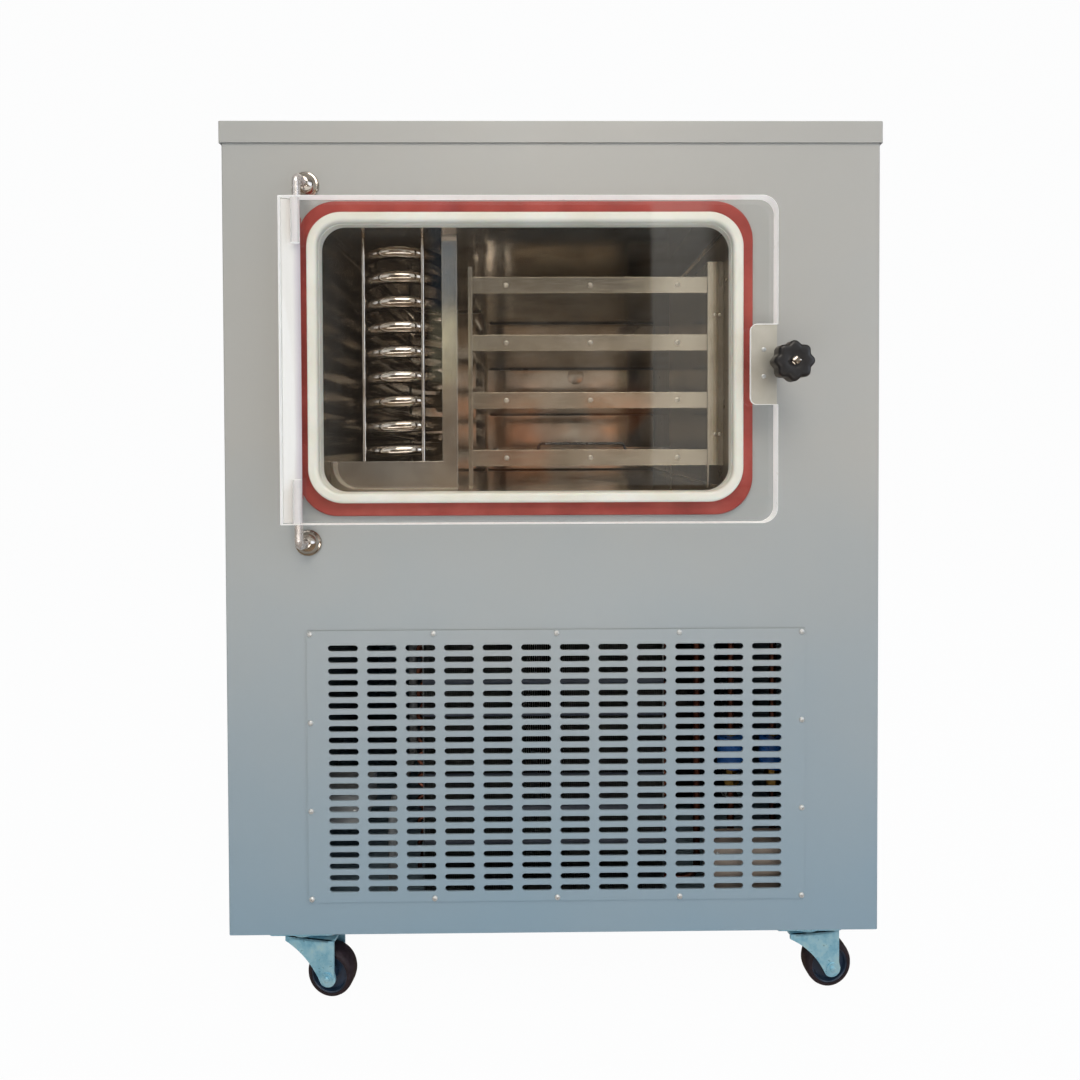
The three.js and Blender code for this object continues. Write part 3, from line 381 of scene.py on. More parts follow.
def cream_silicone():
    """Extruded cream silicone: smooth and waxy, with light that sinks in a little and a trace of dust."""
    made = Finish("cream_silicone", Specular_IOR_Level=0.5, Subsurface_Weight=0.12, Subsurface_Scale=0.004)
    made.coloured(made.noise(60, 3.0, 0.6), "#ece7d9", "#f6f3ea")
    made.rough(made.noise(25, 3.0), 0.34, 0.46)
    return made.bumped((made.noise(9, 1.0), 0.06), (made.noise(0.8), 0.01))


def red_silicone():
    """Cut red silicone sheet: matt, slightly chalky, deeper where it has been wiped."""
    made = Finish("red_silicone", Specular_IOR_Level=0.4)
    made.coloured(made.noise(48, 4.0, 0.6), "#96332c", "#a83f37", "#b54d44")
    made.rough(made.noise(20, 3.0), 0.5, 0.68)
    return made.bumped((made.noise(0.8), 0.02))


def jacket_foam():
    """Rigid polyurethane foam: a matt skin with fine pores."""
    made = Finish("rigid_polyurethane_foam", Specular_IOR_Level=0.2)
    made.coloured(made.noise(30, 4.0, 0.6), "#cbbd8f", "#ded3ab")
    made.rough(made.noise(10), 0.8, 0.95)
    return made.bumped((made.noise(1.5), 0.2))


def filter_foam():
    """Open-cell filter foam: dead black, used as painted shade that keeps the inside of the machine dark."""
    return moulded("black_filter_foam_painted_shade", "#0b0b0c", "#1a1a1b")


def tyre_rubber():
    """Brown-black rubber band on the caster wheel: matt, with a dusty bloom on the tread."""
    made = Finish("caster_rubber", Specular_IOR_Level=0.35)
    made.coloured(made.noise(7, 4.0, 0.6), "#1a141c", "#251c25", "#31262f")
    made.rough(made.noise(5), 0.5, 0.7)
    return made.bumped((made.noise(0.9), 0.04))


def hub_plastic():
    """Navy polypropylene wheel centre, slightly glossy."""
    made = Finish("navy_wheel_centre", Specular_IOR_Level=0.5)
    made.coloured(made.noise(9, 3.0), "#1b2b3d", "#263a52")
    made.rough(made.noise(6), 0.28, 0.42)
    return made.bumped((made.noise(1.0), 0.015))


def handle_enamel():
    """Black-dipped wire: a thick soft gloss."""
    made = Finish("black_dipped_wire", Specular_IOR_Level=0.5)
    made.coloured(made.noise(5), "#0d0d0e", "#191a1b")
    return made.rough(made.noise(4), 0.22, 0.35)


def white_strip():
    """White foam tape bonded to the bevel: white at the door's edge, with painted shade that turns it lavender-grey
    towards the inner side.
    """
    made = Finish("white_edge_tape_painted_shade", Specular_IOR_Level=0.4)
    low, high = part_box("door_edge_strip")
    across = add_node(made.tree, "ShaderNodeSeparateXYZ", {0: made.place}).outputs["X"]
    drift = computed(made.tree, "MULTIPLY_ADD", made.noise(60, 3.0), 3 * MM)
    drift.node.inputs[2].default_value = -1.5 * MM
    place = computed(made.tree, "ADD", across, drift)
    share = add_node(made.tree, "ShaderNodeMapRange", {"Value": place, "From Min": low.x, "From Max": high.x})
    # painted shade: the tape darkens to lavender-grey away from the door's edge
    stops = [(0.0, "#fbf8f5"), (0.6, "#faf6f4"), (0.8, "#e3dbe0"), (1.0, "#c9bfc8")]
    made.link("Base Color", ramp(made.tree, share.outputs[0], stops))
    return made.rough(made.noise(20), 0.35, 0.5)


def lets_lamps_through(made, tint):
    """Light that is on its way to what lies behind the clear surface passes straight through it."""
    path = add_node(made.tree, "ShaderNodeLightPath").outputs
    passing = computed(made.tree, "MAXIMUM", path["Is Shadow Ray"], path["Is Diffuse Ray"])
    open_way = add_node(made.tree, "ShaderNodeBsdfTransparent", {"Color": linear(tint)})
    mix = add_node(
        made.tree, "ShaderNodeMixShader", {0: passing, 1: made.shader.outputs[0], 2: open_way.outputs[0]}
    )
    made.tree.links.new(mix.outputs[0], made.output.inputs["Surface"])
    return made


def clear_acrylic():
    """Cast acrylic sheet, 25 mm: clear, with sharp reflections that bend a little with the casting."""
    made = Finish("clear_cast_acrylic", Transmission_Weight=1.0, IOR=1.49, Base_Color=linear("#fcfdfd"))
    made.rough(made.noise(60), 0.0, 0.02)
    made.bumped((made.noise(220, 1.0), 0.02))
    return lets_lamps_through(made, "#fdfefe")


def acrylic_edge():
    """Saw-cut and flame-polished acrylic edge that glows with emission, painted light that shows it as a pale line
    round the door.
    """
    made = Finish(
        "polished_acrylic_edge_painted_glow", IOR=1.49, Emission_Color=linear("#ffffff"), Emission_Strength=0.3
    )
    made.coloured(made.noise(22, 3.0), "#e6e5e3", "#f6f5f3")
    # painted light: seen from inside the sheet, faces that point down glow more
    shape = add_node(made.tree, "ShaderNodeNewGeometry").outputs
    rise = add_node(made.tree, "ShaderNodeSeparateXYZ", {0: shape["Normal"]}).outputs["Z"]
    downward = computed(made.tree, "MULTIPLY", rise, -0.36)
    painted_glow_within = computed(made.tree, "MULTIPLY", shape["Backfacing"], downward)
    made.link("Emission Strength", computed(made.tree, "MAXIMUM", painted_glow_within, 0.3))
    made.rough(made.noise(9), 0.25, 0.4)
    return lets_lamps_through(made, "#f8f7f6")


# ----------------------------------------------------------------------------------------------------------
# Shapes
# ----------------------------------------------------------------------------------------------------------


def rounded(corners, radius, steps=3):
    """A closed 2D outline with each corner rounded."""
    places = [Vector(corner) for corner in corners]
    made = []
    for i, place in enumerate(places):
        back, on = places[i - 1] - place, places[(i + 1) % len(places)] - place
        cut = min(radius / math.tan(back.angle(on) / 2), 0.49 * back.length, 0.49 * on.length)
        start, end = place + back.normalized() * cut, place + on.normalized() * cut
        for step in range(steps + 1):
            t = step / steps
            made.append(start * (1 - t) ** 2 + place * 2 * t * (1 - t) + end * t**2)
    return made


def turns(count):
    """The angles of a number of even steps round a circle."""
    return [FULL_TURN * i / count for i in range(count)]


def skin(bm, loops, closed_round=True, closed_along=False, material=0):
    """Joins loops of points, each with as many points as the next, into a skin of four-sided faces."""
    rows = [[bm.verts.new(p) for p in loop] for loop in loops]
    pairs = list(zip(rows, rows[1:])) + ([(rows[-1], rows[0])] if closed_along else [])
    for low, high in pairs:
        count = len(low)
        for i in range(count if closed_round else count - 1):
            j = (i + 1) % count
            bm.faces.new((low[i], low[j], high[j], high[i])).material_index = material
    return rows


def close_ends(bm, rows, material=0):
    """Closes the first and the last row of vertices with a face each."""
    for row in (rows[0][::-1], rows[-1]):
        bm.faces.new(row).material_index = material


def axes(direction):
    """Two unit vectors square to a direction."""
    direction = direction.normalized()
    side = direction.cross(UP if abs(direction.z) < 0.9 else RIGHT).normalized()
    return side, direction.cross(side).normalized()


def lathe(bm, profile, centre, direction, sides=32, material=0):
    """A turned body: profile is (radius, distance along) pairs, and a radius of 0 is a pole."""
    u, v = axes(direction)
    direction = direction.normalized()
    ring = [u * math.cos(a) + v * math.sin(a) for a in turns(sides)]
    rows = []
    for radius, along in profile:
        middle = centre + direction * along
        rows.append([bm.verts.new(middle + way * radius) for way in (ring if radius else [Vector()])])
    closed = profile[0][0] and profile[-1][0]
    for low, high in list(zip(rows, rows[1:])) + ([(rows[-1], rows[0])] if closed else []):
        for i in range(sides):
            j = (i + 1) % sides
            corners = [low[i % len(low)], low[j % len(low)], high[j % len(high)], high[i % len(high)]]
            unique = list(dict.fromkeys(corners))
            if len(unique) > 2:
                bm.faces.new(unique).material_index = material


def tube(bm, points, radius, sides=16, material=0, chamfer=0.0):
    """A round bar along a smooth path, with flat ends that may be chamfered."""
    points = [Vector(p) for p in points]
    side = axes(points[1] - points[0])[0]
    loops = []
    for i, point in enumerate(points):
        into = (point - points[i - 1]).normalized() if i else Vector()
        away = (points[i + 1] - point).normalized() if i < len(points) - 1 else Vector()
        along = (into + away).normalized()
        side = (side - along * side.dot(along)).normalized()
        across = along.cross(side)
        loops.append([point + (side * math.cos(a) + across * math.sin(a)) * radius for a in turns(sides)])
    if chamfer:
        for end, inward in ((0, 1), (-1, -2)):
            middle = points[end]
            way = (points[inward] - middle).normalized() * chamfer
            rim = [p + way for p in loops[end]]
            tip = [middle + (p - middle) * (1 - chamfer / radius) for p in loops[end]]
            loops = [tip, rim] + loops[1:] if end == 0 else loops[:-1] + [rim, tip]
    close_ends(bm, skin(bm, loops, material=material), material)


def bent_path(corners, bend, steps=8):
    """A path through corners, each bent to a radius."""
    places = [Vector(c) for c in corners]
    path = [places[0]]
    for i in range(1, len(places) - 1):
        into = (places[i] - places[i - 1]).normalized()
        away = (places[i + 1] - places[i]).normalized()
        cut = bend * math.tan(into.angle(away) / 2)
        centre = places[i] - into * cut + (away - into * into.dot(away)).normalized() * bend
        start, end = places[i] - into * cut - centre, places[i] + away * cut - centre
        for step in range(steps + 1):
            path.append(centre + start.slerp(end, step / steps, start).normalized() * bend)
    return path + [places[-1]]


def block(bm, low, high):
    """A box between two corners."""
    base = ((low[0], low[1]), (high[0], low[1]), (high[0], high[1]), (low[0], high[1]))
    close_ends(bm, skin(bm, [[Vector((x, y, z)) for x, y in base] for z in (low[2], high[2])]))


def prism(bm, outline, place, start, end):
    """A 2D outline, laid out by place(u, v, w), from w = start to w = end."""
    close_ends(bm, skin(bm, [[place(u, v, w) for u, v in outline] for w in (start, end)]))


def frame_loop(centre, width, height, corner, y, steps=10):
    """A rectangle with round corners in the front view, at one Y."""
    corner = max(corner, 0.2 * MM)
    loop = []
    for start, sx, sz in ((-0.25, 1, -1), (0.0, 1, 1), (0.25, -1, 1), (0.5, -1, -1)):
        middle = (centre[0] + sx * (width / 2 - corner), centre[1] + sz * (height / 2 - corner))
        for step in range(steps + 1):
            a = FULL_TURN * (start + 0.25 * step / steps)
            loop.append(Vector((middle[0] + corner * math.cos(a), y, middle[1] + corner * math.sin(a))))
    return loop


def frame_ring(bm, section, centre, width, height, corner, steps):
    """A moulding bent round a rounded rectangle: section is (inset from the outer edge, Y) pairs."""
    loops = [
        frame_loop(centre, width - 2 * inset, height - 2 * inset, corner - inset, y, steps)
        for inset, y in section
    ]
    skin(bm, loops, closed_along=True)


def soften(bm, width, segments=2, angle=28):
    """Rounds every edge sharper than an angle."""
    limit = math.radians(angle)
    edges = [e for e in bm.edges if len(e.link_faces) == 2 and e.calc_face_angle(0) > limit]
    if edges:
        bmesh.ops.bevel(
            bm, geom=edges, offset=width, offset_type="OFFSET", segments=segments, profile=0.5,
            affect="EDGES", clamp_overlap=True,
        )


def as_bmesh(mesh):
    bm = bmesh.new()
    bm.from_mesh(mesh)
    return bm


def as_mesh(name, bm):
    mesh = bpy.data.meshes.new(name)
    bm.to_mesh(mesh)
    bm.free()
    return mesh


def placed(name, data):
    """A new object in the scene, at the origin."""
    made = bpy.data.objects.new(name, data)
    bpy.context.scene.collection.objects.link(made)
    return made


def evaluated(made):
    """The plain mesh that an object's modifiers make."""
    graph = bpy.context.evaluated_depsgraph_get()
    return bpy.data.meshes.new_from_object(made.evaluated_get(graph), depsgraph=graph)


def welded_copy(node):
    """A CAD node's faces as one welded mesh, with its flat faces whole again."""
    bm = as_bmesh(frame["nodes"][node].data)
    bmesh.ops.remove_doubles(bm, verts=bm.verts, dist=0.002 * MM)
    bmesh.ops.dissolve_limit(bm, angle_limit=math.radians(0.4), verts=bm.verts, edges=bm.edges)
    return bm


def piece(name, bm, finishes, body="cabinet", slot=None, stands_for=(), angle=35, flip=True):
    """Turns a bmesh into a piece that rides on a body, with its finishes in the order of its faces' indices."""
    if flip:
        bmesh.ops.recalc_face_normals(bm, faces=bm.faces)
    return plain_piece(name, as_mesh(name, bm), finishes, body, slot, stands_for, angle)


def plain_piece(name, mesh, finishes, body="cabinet", slot=None, stands_for=(), angle=35):
    """Turns a mesh into a piece that rides on a body; edges sharper than the angle stay sharp."""
    mesh.shade_smooth()
    mesh.set_sharp_from_angle(angle=math.radians(angle))
    for recipe in finishes:
        mesh.materials.append(finish(recipe))
    made = placed(name, mesh)
    made.modifiers.new("flat faces stay flat", "WEIGHTED_NORMAL").keep_sharp = True
    weighted = evaluated(made)
    made.modifiers.clear()
    made.data = weighted
    if stands_for:
        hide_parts(*stands_for)
        slot = slot or slot_of(stands_for[0])
    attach(made, body)
    return made


def slot_of(node):
    return next(s["material_slot"] for s in frame["record"]["subparts"] if s["node"] == node)


def body_of(node):
    return frame["nodes"][node]["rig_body"]


def softened_node(node, width, recipe, segments=2):
    """A CAD node again with its edges rounded, as a piece in the node's place."""
    bm = welded_copy(node)
    soften(bm, width, segments)
    piece(f"{node}_finished", bm, [recipe], body_of(node), stands_for=[node], flip=False)


def corner_box(node):
    """The low corner, the high corner and the middle of a node's box."""
    low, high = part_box(node)
    return low, high, (low + high) / 2


# ----------------------------------------------------------------------------------------------------------
# Geometry Nodes
# ----------------------------------------------------------------------------------------------------------

FLOAT, COUNT, VECTOR = "NodeSocketFloat", "NodeSocketInt", "NodeSocketVector"
OBJECT, MATERIAL, GEOMETRY = "NodeSocketObject", "NodeSocketMaterial", "NodeSocketGeometry"


class Grower:
    """A Geometry Nodes tree with named inputs, which ends in Realize Instances and Set Material."""

    def __init__(self, name, **inputs):
        self.tree = bpy.data.node_groups.new(name, "GeometryNodeTree")
        for label, kind in {"Geometry": GEOMETRY, **inputs, "Finish": MATERIAL}.items():
            self.tree.interface.new_socket(name=label, in_out="INPUT", socket_type=kind)
        self.tree.interface.new_socket(name="Geometry", in_out="OUTPUT", socket_type=GEOMETRY)
        self.inputs = add_node(self.tree, "NodeGroupInput").outputs

    def add(self, kind, inputs=None, **settings):
        return add_node(self.tree, f"GeometryNode{kind}", inputs, **settings).outputs

    def end(self, geometry):
        whole = self.add("RealizeInstances", {"Geometry": geometry})[0]
        done = self.add("SetMaterial", {"Geometry": whole, "Material": self.inputs["Finish"]})[0]
        add_node(self.tree, "NodeGroupOutput", {0: done})
        return self

    def grow(self, seed_mesh, values):
        """The plain mesh that the tree makes from a seed mesh and the values of its named inputs."""
        holder = placed("seed", seed_mesh)
        modifier = holder.modifiers.new("growth", "NODES")
        modifier.node_group = self.tree
        for item in self.tree.interface.items_tree:
            if item.in_out == "INPUT" and item.name in values:
                modifier[item.identifier] = values[item.name]
        mesh = evaluated(holder)
        holder.modifiers.remove(modifier)
        bpy.data.objects.remove(holder)
        mesh.materials.clear()
        return mesh


def point_mesh(points, edges=()):
    mesh = bpy.data.meshes.new("points")
    mesh.from_pydata([tuple(p) for p in points], edges, [])
    return mesh


def path_mesh(points):
    return point_mesh(points, [(i, i + 1) for i in range(len(points) - 1)])


def placing_tree():
    """Stands a copy of one object on every point, turned to face one way, each spun at random."""
    made = Grower("Placed copies", **{"Copy": OBJECT, "Facing": VECTOR, "Spin": FLOAT, "Seed": COUNT})
    copy = made.add("ObjectInfo", {"Object": made.inputs["Copy"]})["Geometry"]
    limits = {3: made.inputs["Spin"], 8: made.inputs["Seed"]}
    spin = add_node(made.tree, "FunctionNodeRandomValue", limits, data_type="FLOAT")
    turn = add_node(made.tree, "ShaderNodeCombineXYZ", {"Z": spin.outputs[1]}).outputs[0]
    way = {"Vector": made.inputs["Facing"]}
    faced = add_node(made.tree, "FunctionNodeAlignRotationToVector", way, axis="Z").outputs[0]
    turns_by = {0: faced, 1: turn}
    both = add_node(made.tree, "FunctionNodeRotateRotation", turns_by, rotation_space="LOCAL").outputs[0]
    copies = {"Points": made.inputs["Geometry"], "Instance": copy, "Rotation": both}
    return made.end(made.add("InstanceOnPoints", copies)[0])


def row_tree():
    """Repeats the seed mesh a number of times at an even step."""
    made = Grower("Even row", **{"Count": COUNT, "Step": VECTOR})
    steps = {"Count": made.inputs["Count"], "Offset": made.inputs["Step"]}
    line = made.add("MeshLine", steps, mode="OFFSET")[0]
    return made.end(made.add("InstanceOnPoints", {"Points": line, "Instance": made.inputs["Geometry"]})[0])


def bar_tree():
    """A round tube along the seed path, closed at both ends."""
    made = Grower("Tube along a path", **{"Radius": FLOAT, "Sides": COUNT})
    path = made.add("MeshToCurve", {"Mesh": made.inputs["Geometry"]})[0]
    sizes = {"Radius": made.inputs["Radius"], "Resolution": made.inputs["Sides"]}
    section = made.add("CurvePrimitiveCircle", sizes, mode="RADIUS")[0]
    swept = made.add("CurveToMesh", {"Curve": path, "Profile Curve": section, "Fill Caps": True})[0]
    return made.end(swept)


def perforation_tree():
    """A flat sheet with a grid of round-ended slots, as thick as asked, standing in the front view."""
    sizes = ["Width", "Height", "Thickness", "Column pitch", "Row pitch", "Slot length", "Slot height"]
    inputs = {"Centre": VECTOR, "Columns": COUNT, "Rows": COUNT, "Grid centre": VECTOR}
    made = Grower("Slotted sheet", **inputs, **{name: FLOAT for name in sizes})
    given = made.inputs

    def reach(count, pitch):
        gaps = computed(made.tree, "SUBTRACT", given[count], 1.0)
        return computed(made.tree, "MULTIPLY", gaps, given[pitch])

    sheet = made.add(
        "CurvePrimitiveQuadrilateral", {"Width": given["Width"], "Height": given["Height"]}, mode="RECTANGLE"
    )[0]
    slot = made.add(
        "CurvePrimitiveQuadrilateral", {"Width": given["Slot length"], "Height": given["Slot height"]},
        mode="RECTANGLE",
    )[0]
    end_radius = computed(made.tree, "MULTIPLY", given["Slot height"], 0.499)
    slot = made.add("FilletCurve", {"Curve": slot, "Count": 5, "Radius": end_radius}, mode="POLY")[0]
    grid = made.add("MeshGrid", {
        "Size X": reach("Columns", "Column pitch"), "Size Y": reach("Rows", "Row pitch"),
        "Vertices X": given["Columns"], "Vertices Y": given["Rows"],
    })[0]
    grid = made.add("Transform", {"Geometry": grid, "Translation": given["Grid centre"]})[0]
    slots = made.add("InstanceOnPoints", {"Points": grid, "Instance": slot})[0]
    slots = made.add("RealizeInstances", {"Geometry": slots})[0]
    outlines = made.add("JoinGeometry", {0: sheet})
    made.tree.links.new(slots, outlines[0].node.inputs[0])
    face = made.add("FillCurve", {"Curve": outlines[0]}, mode="NGONS")[0]
    raised = made.add(
        "ExtrudeMesh", {"Mesh": face, "Offset Scale": given["Thickness"], "Individual": False}, mode="FACES"
    )["Mesh"]
    bottom = made.add("FlipFaces", {"Mesh": face})[0]
    body = made.add("JoinGeometry", {0: raised})
    made.tree.links.new(bottom, body[0].node.inputs[0])
    body = made.add("MergeByDistance", {"Geometry": body[0], "Distance": 0.01 * MM})[0]
    stood = made.add(
        "Transform", {"Geometry": body, "Translation": given["Centre"], "Rotation": (math.pi / 2, 0, 0)}
    )[0]
    return made.end(stood)


# ----------------------------------------------------------------------------------------------------------
# Settings
# ----------------------------------------------------------------------------------------------------------


def length(name, description, millimetres):
    return FloatProperty(name=name, description=description, default=millimetres * MM, unit="LENGTH", min=0.0)


def colour(name, description, hex_colour):
    rgb = linear(hex_colour)[:3]
    return FloatVectorProperty(name=name, description=description, default=rgb, subtype="COLOR", min=0, max=1)


class DryerStageSettings(PropertyGroup):
    lens: FloatProperty(name="Lens", description="Focal length in millimetres on a 36 mm sensor", default=20.0)
    camera_place: FloatVectorProperty(
        name="Camera", description="Where it stands", default=(-0.0147, -1.14, 0.766), subtype="TRANSLATION"
    )
    tilt: FloatProperty(
        name="Tilt", description="How far the camera looks down", default=math.radians(0.73), subtype="ANGLE"
    )
    turn: FloatProperty(name="Turn", description="To the left of straight on", default=-0.0075, subtype="ANGLE")
    roll: FloatProperty(
        name="Roll", description="How far it leans", default=math.radians(-0.2), subtype="ANGLE"
    )
    shift: FloatVectorProperty(
        name="Shift", description="Lens shift, as a share of the picture", default=(-0.006, -0.0885), size=2
    )
    key: FloatProperty(name="Key", description="Power of the large soft lamp above", default=25.0, min=0)
    fill: FloatProperty(name="Fill", description="Strength of the sky all round", default=0.58, min=0)
    backdrop: colour("Backdrop", "Colour of the floor and the wall behind", "#d2dde8")


class DryerCabinetSettings(PropertyGroup):
    # painted light: these two paint colours stand in for cool light low down and warm light high up
    paint_low_painted_bounce: colour("Paint, cool", "The powder coat low down, where it looks bluer", "#88a2b3")
    paint_high_painted_light: colour("Paint, warm", "The powder coat high up", "#b0afab")
    edge: length("Edge rounding", "How round the sheet's edges are", 0.45)


class DryerVentSettings(PropertyGroup):
    columns: IntProperty(name="Columns", description="Slots in a row", default=12, min=1)
    rows: IntProperty(name="Rows", description="Rows of slots", default=22, min=1)
    slot_length: length("Slot length", "From end to end", 40)
    slot_height: length("Slot height", "Across a slot", 8)
    column_pitch: length("Column pitch", "From slot to slot", 51.5)
    row_pitch: length("Row pitch", "From row to row", 15.43)
    screw: length("Screw head", "Across the head of each screw", 7.4)


class DryerDoorSettings(PropertyGroup):
    edge: length("Edge rounding", "How round the sheet's edges are", 0.5)
    rod: length("Hinge rod", "Across the rod that ends in the door", 10.4)
    rosette: length("Rosette", "Across the rosette on the panel", 35)
    knob: length("Knob", "Across the star knob", 50)
    lobes: IntProperty(name="Lobes", description="Lobes round the knob", default=8, min=3)


class DryerChamberSettings(PropertyGroup):
    corner: length("Corner", "Radius of the chamber's corners", 12)
    turns: IntProperty(name="Coil turns", description="Turns of the cold-trap coil", default=9, min=2)
    coil_tube: length("Coil tube", "Across the coil's tube", 18)
    coil_bend: length("Coil bend", "Radius of the coil's bends", 52)
    coil_pitch: length("Coil pitch", "From turn to turn", 34.4)


class DryerPlantSettings(PropertyGroup):
    fin_pitch: length("Fin pitch", "From fin to fin on the condenser", 3.2)
    blades: IntProperty(name="Blades", description="Blades on the fan", default=5, min=2)


class DryerCasterSettings(PropertyGroup):
    wheel: length("Wheel", "Across the wheel", 64.99)
    width: length("Wheel width", "Along the axle", 22)


# ----------------------------------------------------------------------------------------------------------
# Stage
# ----------------------------------------------------------------------------------------------------------

ROOM = 9.0  # the floor and the wall reach this far


def backdrop_finish():
    """Matt paper: pale, and clean white where it is seen, but it keeps a faint trace of a shadow."""
    made = Finish("matt_backdrop_paper", Roughness=0.9, Specular_IOR_Level=0.1)
    made.shader.inputs["Base Color"].default_value = (*bpy.context.scene.dryer_stage.backdrop, 1.0)
    path = add_node(made.tree, "ShaderNodeLightPath").outputs
    seen = computed(made.tree, "MAXIMUM", path["Is Camera Ray"], path["Is Transmission Ray"])
    share = computed(made.tree, "MULTIPLY", seen, 0.97)
    white = add_node(made.tree, "ShaderNodeEmission", {"Color": linear("#ffffff"), "Strength": 1.0})
    mix = add_node(made.tree, "ShaderNodeMixShader", {0: share, 1: made.shader.outputs[0], 2: white.outputs[0]})
    browns = [(0.35, "#54483c"), (0.5, "#8d7c68"), (0.65, "#a88a70")]
    patches = ramp(made.tree, made.noise(900, 4.0, 0.6), browns)
    dim = add_node(made.tree, "ShaderNodeEmission", {"Color": patches, "Strength": 1.0})
    mirrored = computed(made.tree, "GREATER_THAN", path["Glossy Depth"], 0.5)
    both = add_node(made.tree, "ShaderNodeMixShader", {0: mirrored, 1: mix.outputs[0], 2: dim.outputs[0]})
    made.tree.links.new(both.outputs[0], made.output.inputs["Surface"])
    return made


def room_light(settings):
    """A pale studio all round, white where it is seen, with a dim warm room in front for polished metal."""
    world = bpy.data.worlds.new("studio")
    world.use_nodes = True
    tree = world.node_tree
    tree.nodes.clear()
    place = add_node(tree, "ShaderNodeTexCoord").outputs["Generated"]
    across = add_node(tree, "ShaderNodeSeparateXYZ", {0: place}).outputs
    height = add_node(tree, "ShaderNodeMapRange", {"Value": across["Z"], "From Min": -0.4, "From Max": 0.9})
    sky = ramp(tree, height.outputs[0], [(0.0, "#b9c4cb"), (0.45, "#c6cdd0"), (1.0, "#f2f1ee")])
    shown = dim_room(tree, place, across)
    path = add_node(tree, "ShaderNodeLightPath").outputs
    lit = add_node(tree, "ShaderNodeBackground", {"Color": sky, "Strength": settings.fill})
    metal = add_node(tree, "ShaderNodeBackground", {"Color": shown, "Strength": 1.0})
    white = add_node(tree, "ShaderNodeBackground", {"Color": linear("#ffffff"), "Strength": 1.0})
    mirrored = computed(tree, "GREATER_THAN", path["Glossy Depth"], 0.5)
    through = computed(tree, "MAXIMUM", path["Is Camera Ray"], path["Is Transmission Ray"])
    first = add_node(tree, "ShaderNodeMixShader", {0: through, 1: lit.outputs[0], 2: white.outputs[0]})
    second = add_node(tree, "ShaderNodeMixShader", {0: mirrored, 1: first.outputs[0], 2: metal.outputs[0]})
    add_node(tree, "ShaderNodeOutputWorld", {"Surface": second.outputs[0]})
    bpy.context.scene.world = world


def dim_room(tree, place, across):
    """What polished metal shows: a dim warm room with a pale wall to the right and a paler ceiling."""
    wide = add_node(tree, "ShaderNodeMapping", {"Vector": place, "Scale": (1.0, 1.0, 1.5)}).outputs[0]
    inputs = {"Vector": wide, "Scale": 14.0, "Detail": 5.0, "Roughness": 0.62}
    patches = add_node(tree, "ShaderNodeTexNoise", inputs).outputs["Fac"]
    inputs = {"Vector": place, "Scale": 7.0, "Detail": 2.0}
    zones = add_node(tree, "ShaderNodeTexNoise", inputs).outputs["Fac"]
    beige = ramp(tree, patches, [(0.3, "#5b5048"), (0.45, "#8e8378"), (0.56, "#b1a698"), (0.7, "#d3cabd")])
    copper = ramp(tree, patches, [(0.35, "#5a3a2a"), (0.48, "#b06c48"), (0.6, "#d79a72"), (0.72, "#e6cdb6")])
    ahead = computed(tree, "ABSOLUTE", across["Y"])
    rise = computed(tree, "DIVIDE", across["Z"], ahead)
    aside = computed(tree, "DIVIDE", across["X"], ahead)
    low_down = computed(tree, "MULTIPLY", span(tree, rise, 0.1, 0.05), span(tree, zones, 0.47, 0.55))
    warm = blend_colours(tree, low_down, beige, copper)
    high_up = blend_colours(tree, span(tree, rise, 0.17, 0.26), warm, linear("#4a443d"))
    left = blend_colours(tree, span(tree, aside, 0.0, -0.12), high_up, linear("#61574d"))
    beside = computed(tree, "MULTIPLY", span(tree, aside, -0.136, -0.141), span(tree, aside, -0.19, -0.18))
    stops = [(0.0, "#7d6a55"), (0.085, "#8f7d66"), (0.1, "#d9d0b0"), (0.205, "#cfc6a6"), (0.22, "#5b6874")]
    door = blend_colours(tree, beside, left, ramp(tree, rise, stops))
    wall = blend_colours(tree, span(tree, aside, 0.179, 0.187), door, linear("#f0ece3"))
    beyond = blend_colours(tree, span(tree, aside, 0.27, 0.29), wall, linear("#857b6f"))
    reach = computed(tree, "MAXIMUM", computed(tree, "ABSOLUTE", aside), computed(tree, "ABSOLUTE", rise))
    bright = blend_colours(tree, span(tree, reach, 0.5, 0.56), beyond, linear("#f6f4f0"))
    sides = blend_colours(tree, span(tree, across["Y"], -0.68, -0.5), bright, linear("#655e56"))
    return blend_colours(tree, span(tree, across["Z"], 0.5, 0.85), sides, linear("#a8a39c"))


def span(tree, value, start, end):
    """0 at one value, 1 at the other, even between them and level beyond."""
    inputs = {"Value": value, "From Min": start, "From Max": end}
    return add_node(tree, "ShaderNodeMapRange", inputs).outputs[0]


def blend_colours(tree, share, first, second):
    """The first colour at a share of 0, the second at 1."""
    made = add_node(tree, "ShaderNodeMix", data_type="RGBA")
    for socket, source in zip([s for s in made.inputs if s.enabled], (share, first, second)):
        if isinstance(source, NodeSocket):
            tree.links.new(source, socket)
        else:
            socket.default_value = source
    return [s for s in made.outputs if s.enabled][0]


def area_lamp(name, place, target, size, power, tint):
    lamp = bpy.data.lights.new(name, "AREA")
    lamp.shape = "RECTANGLE"
    lamp.size, lamp.size_y = size
    lamp.energy = power
    lamp.color = linear(tint)[:3]
    made = placed(name, lamp)
    made.location = place
    made.rotation_euler = (Vector(target) - Vector(place)).to_track_quat("-Z", "Y").to_euler()


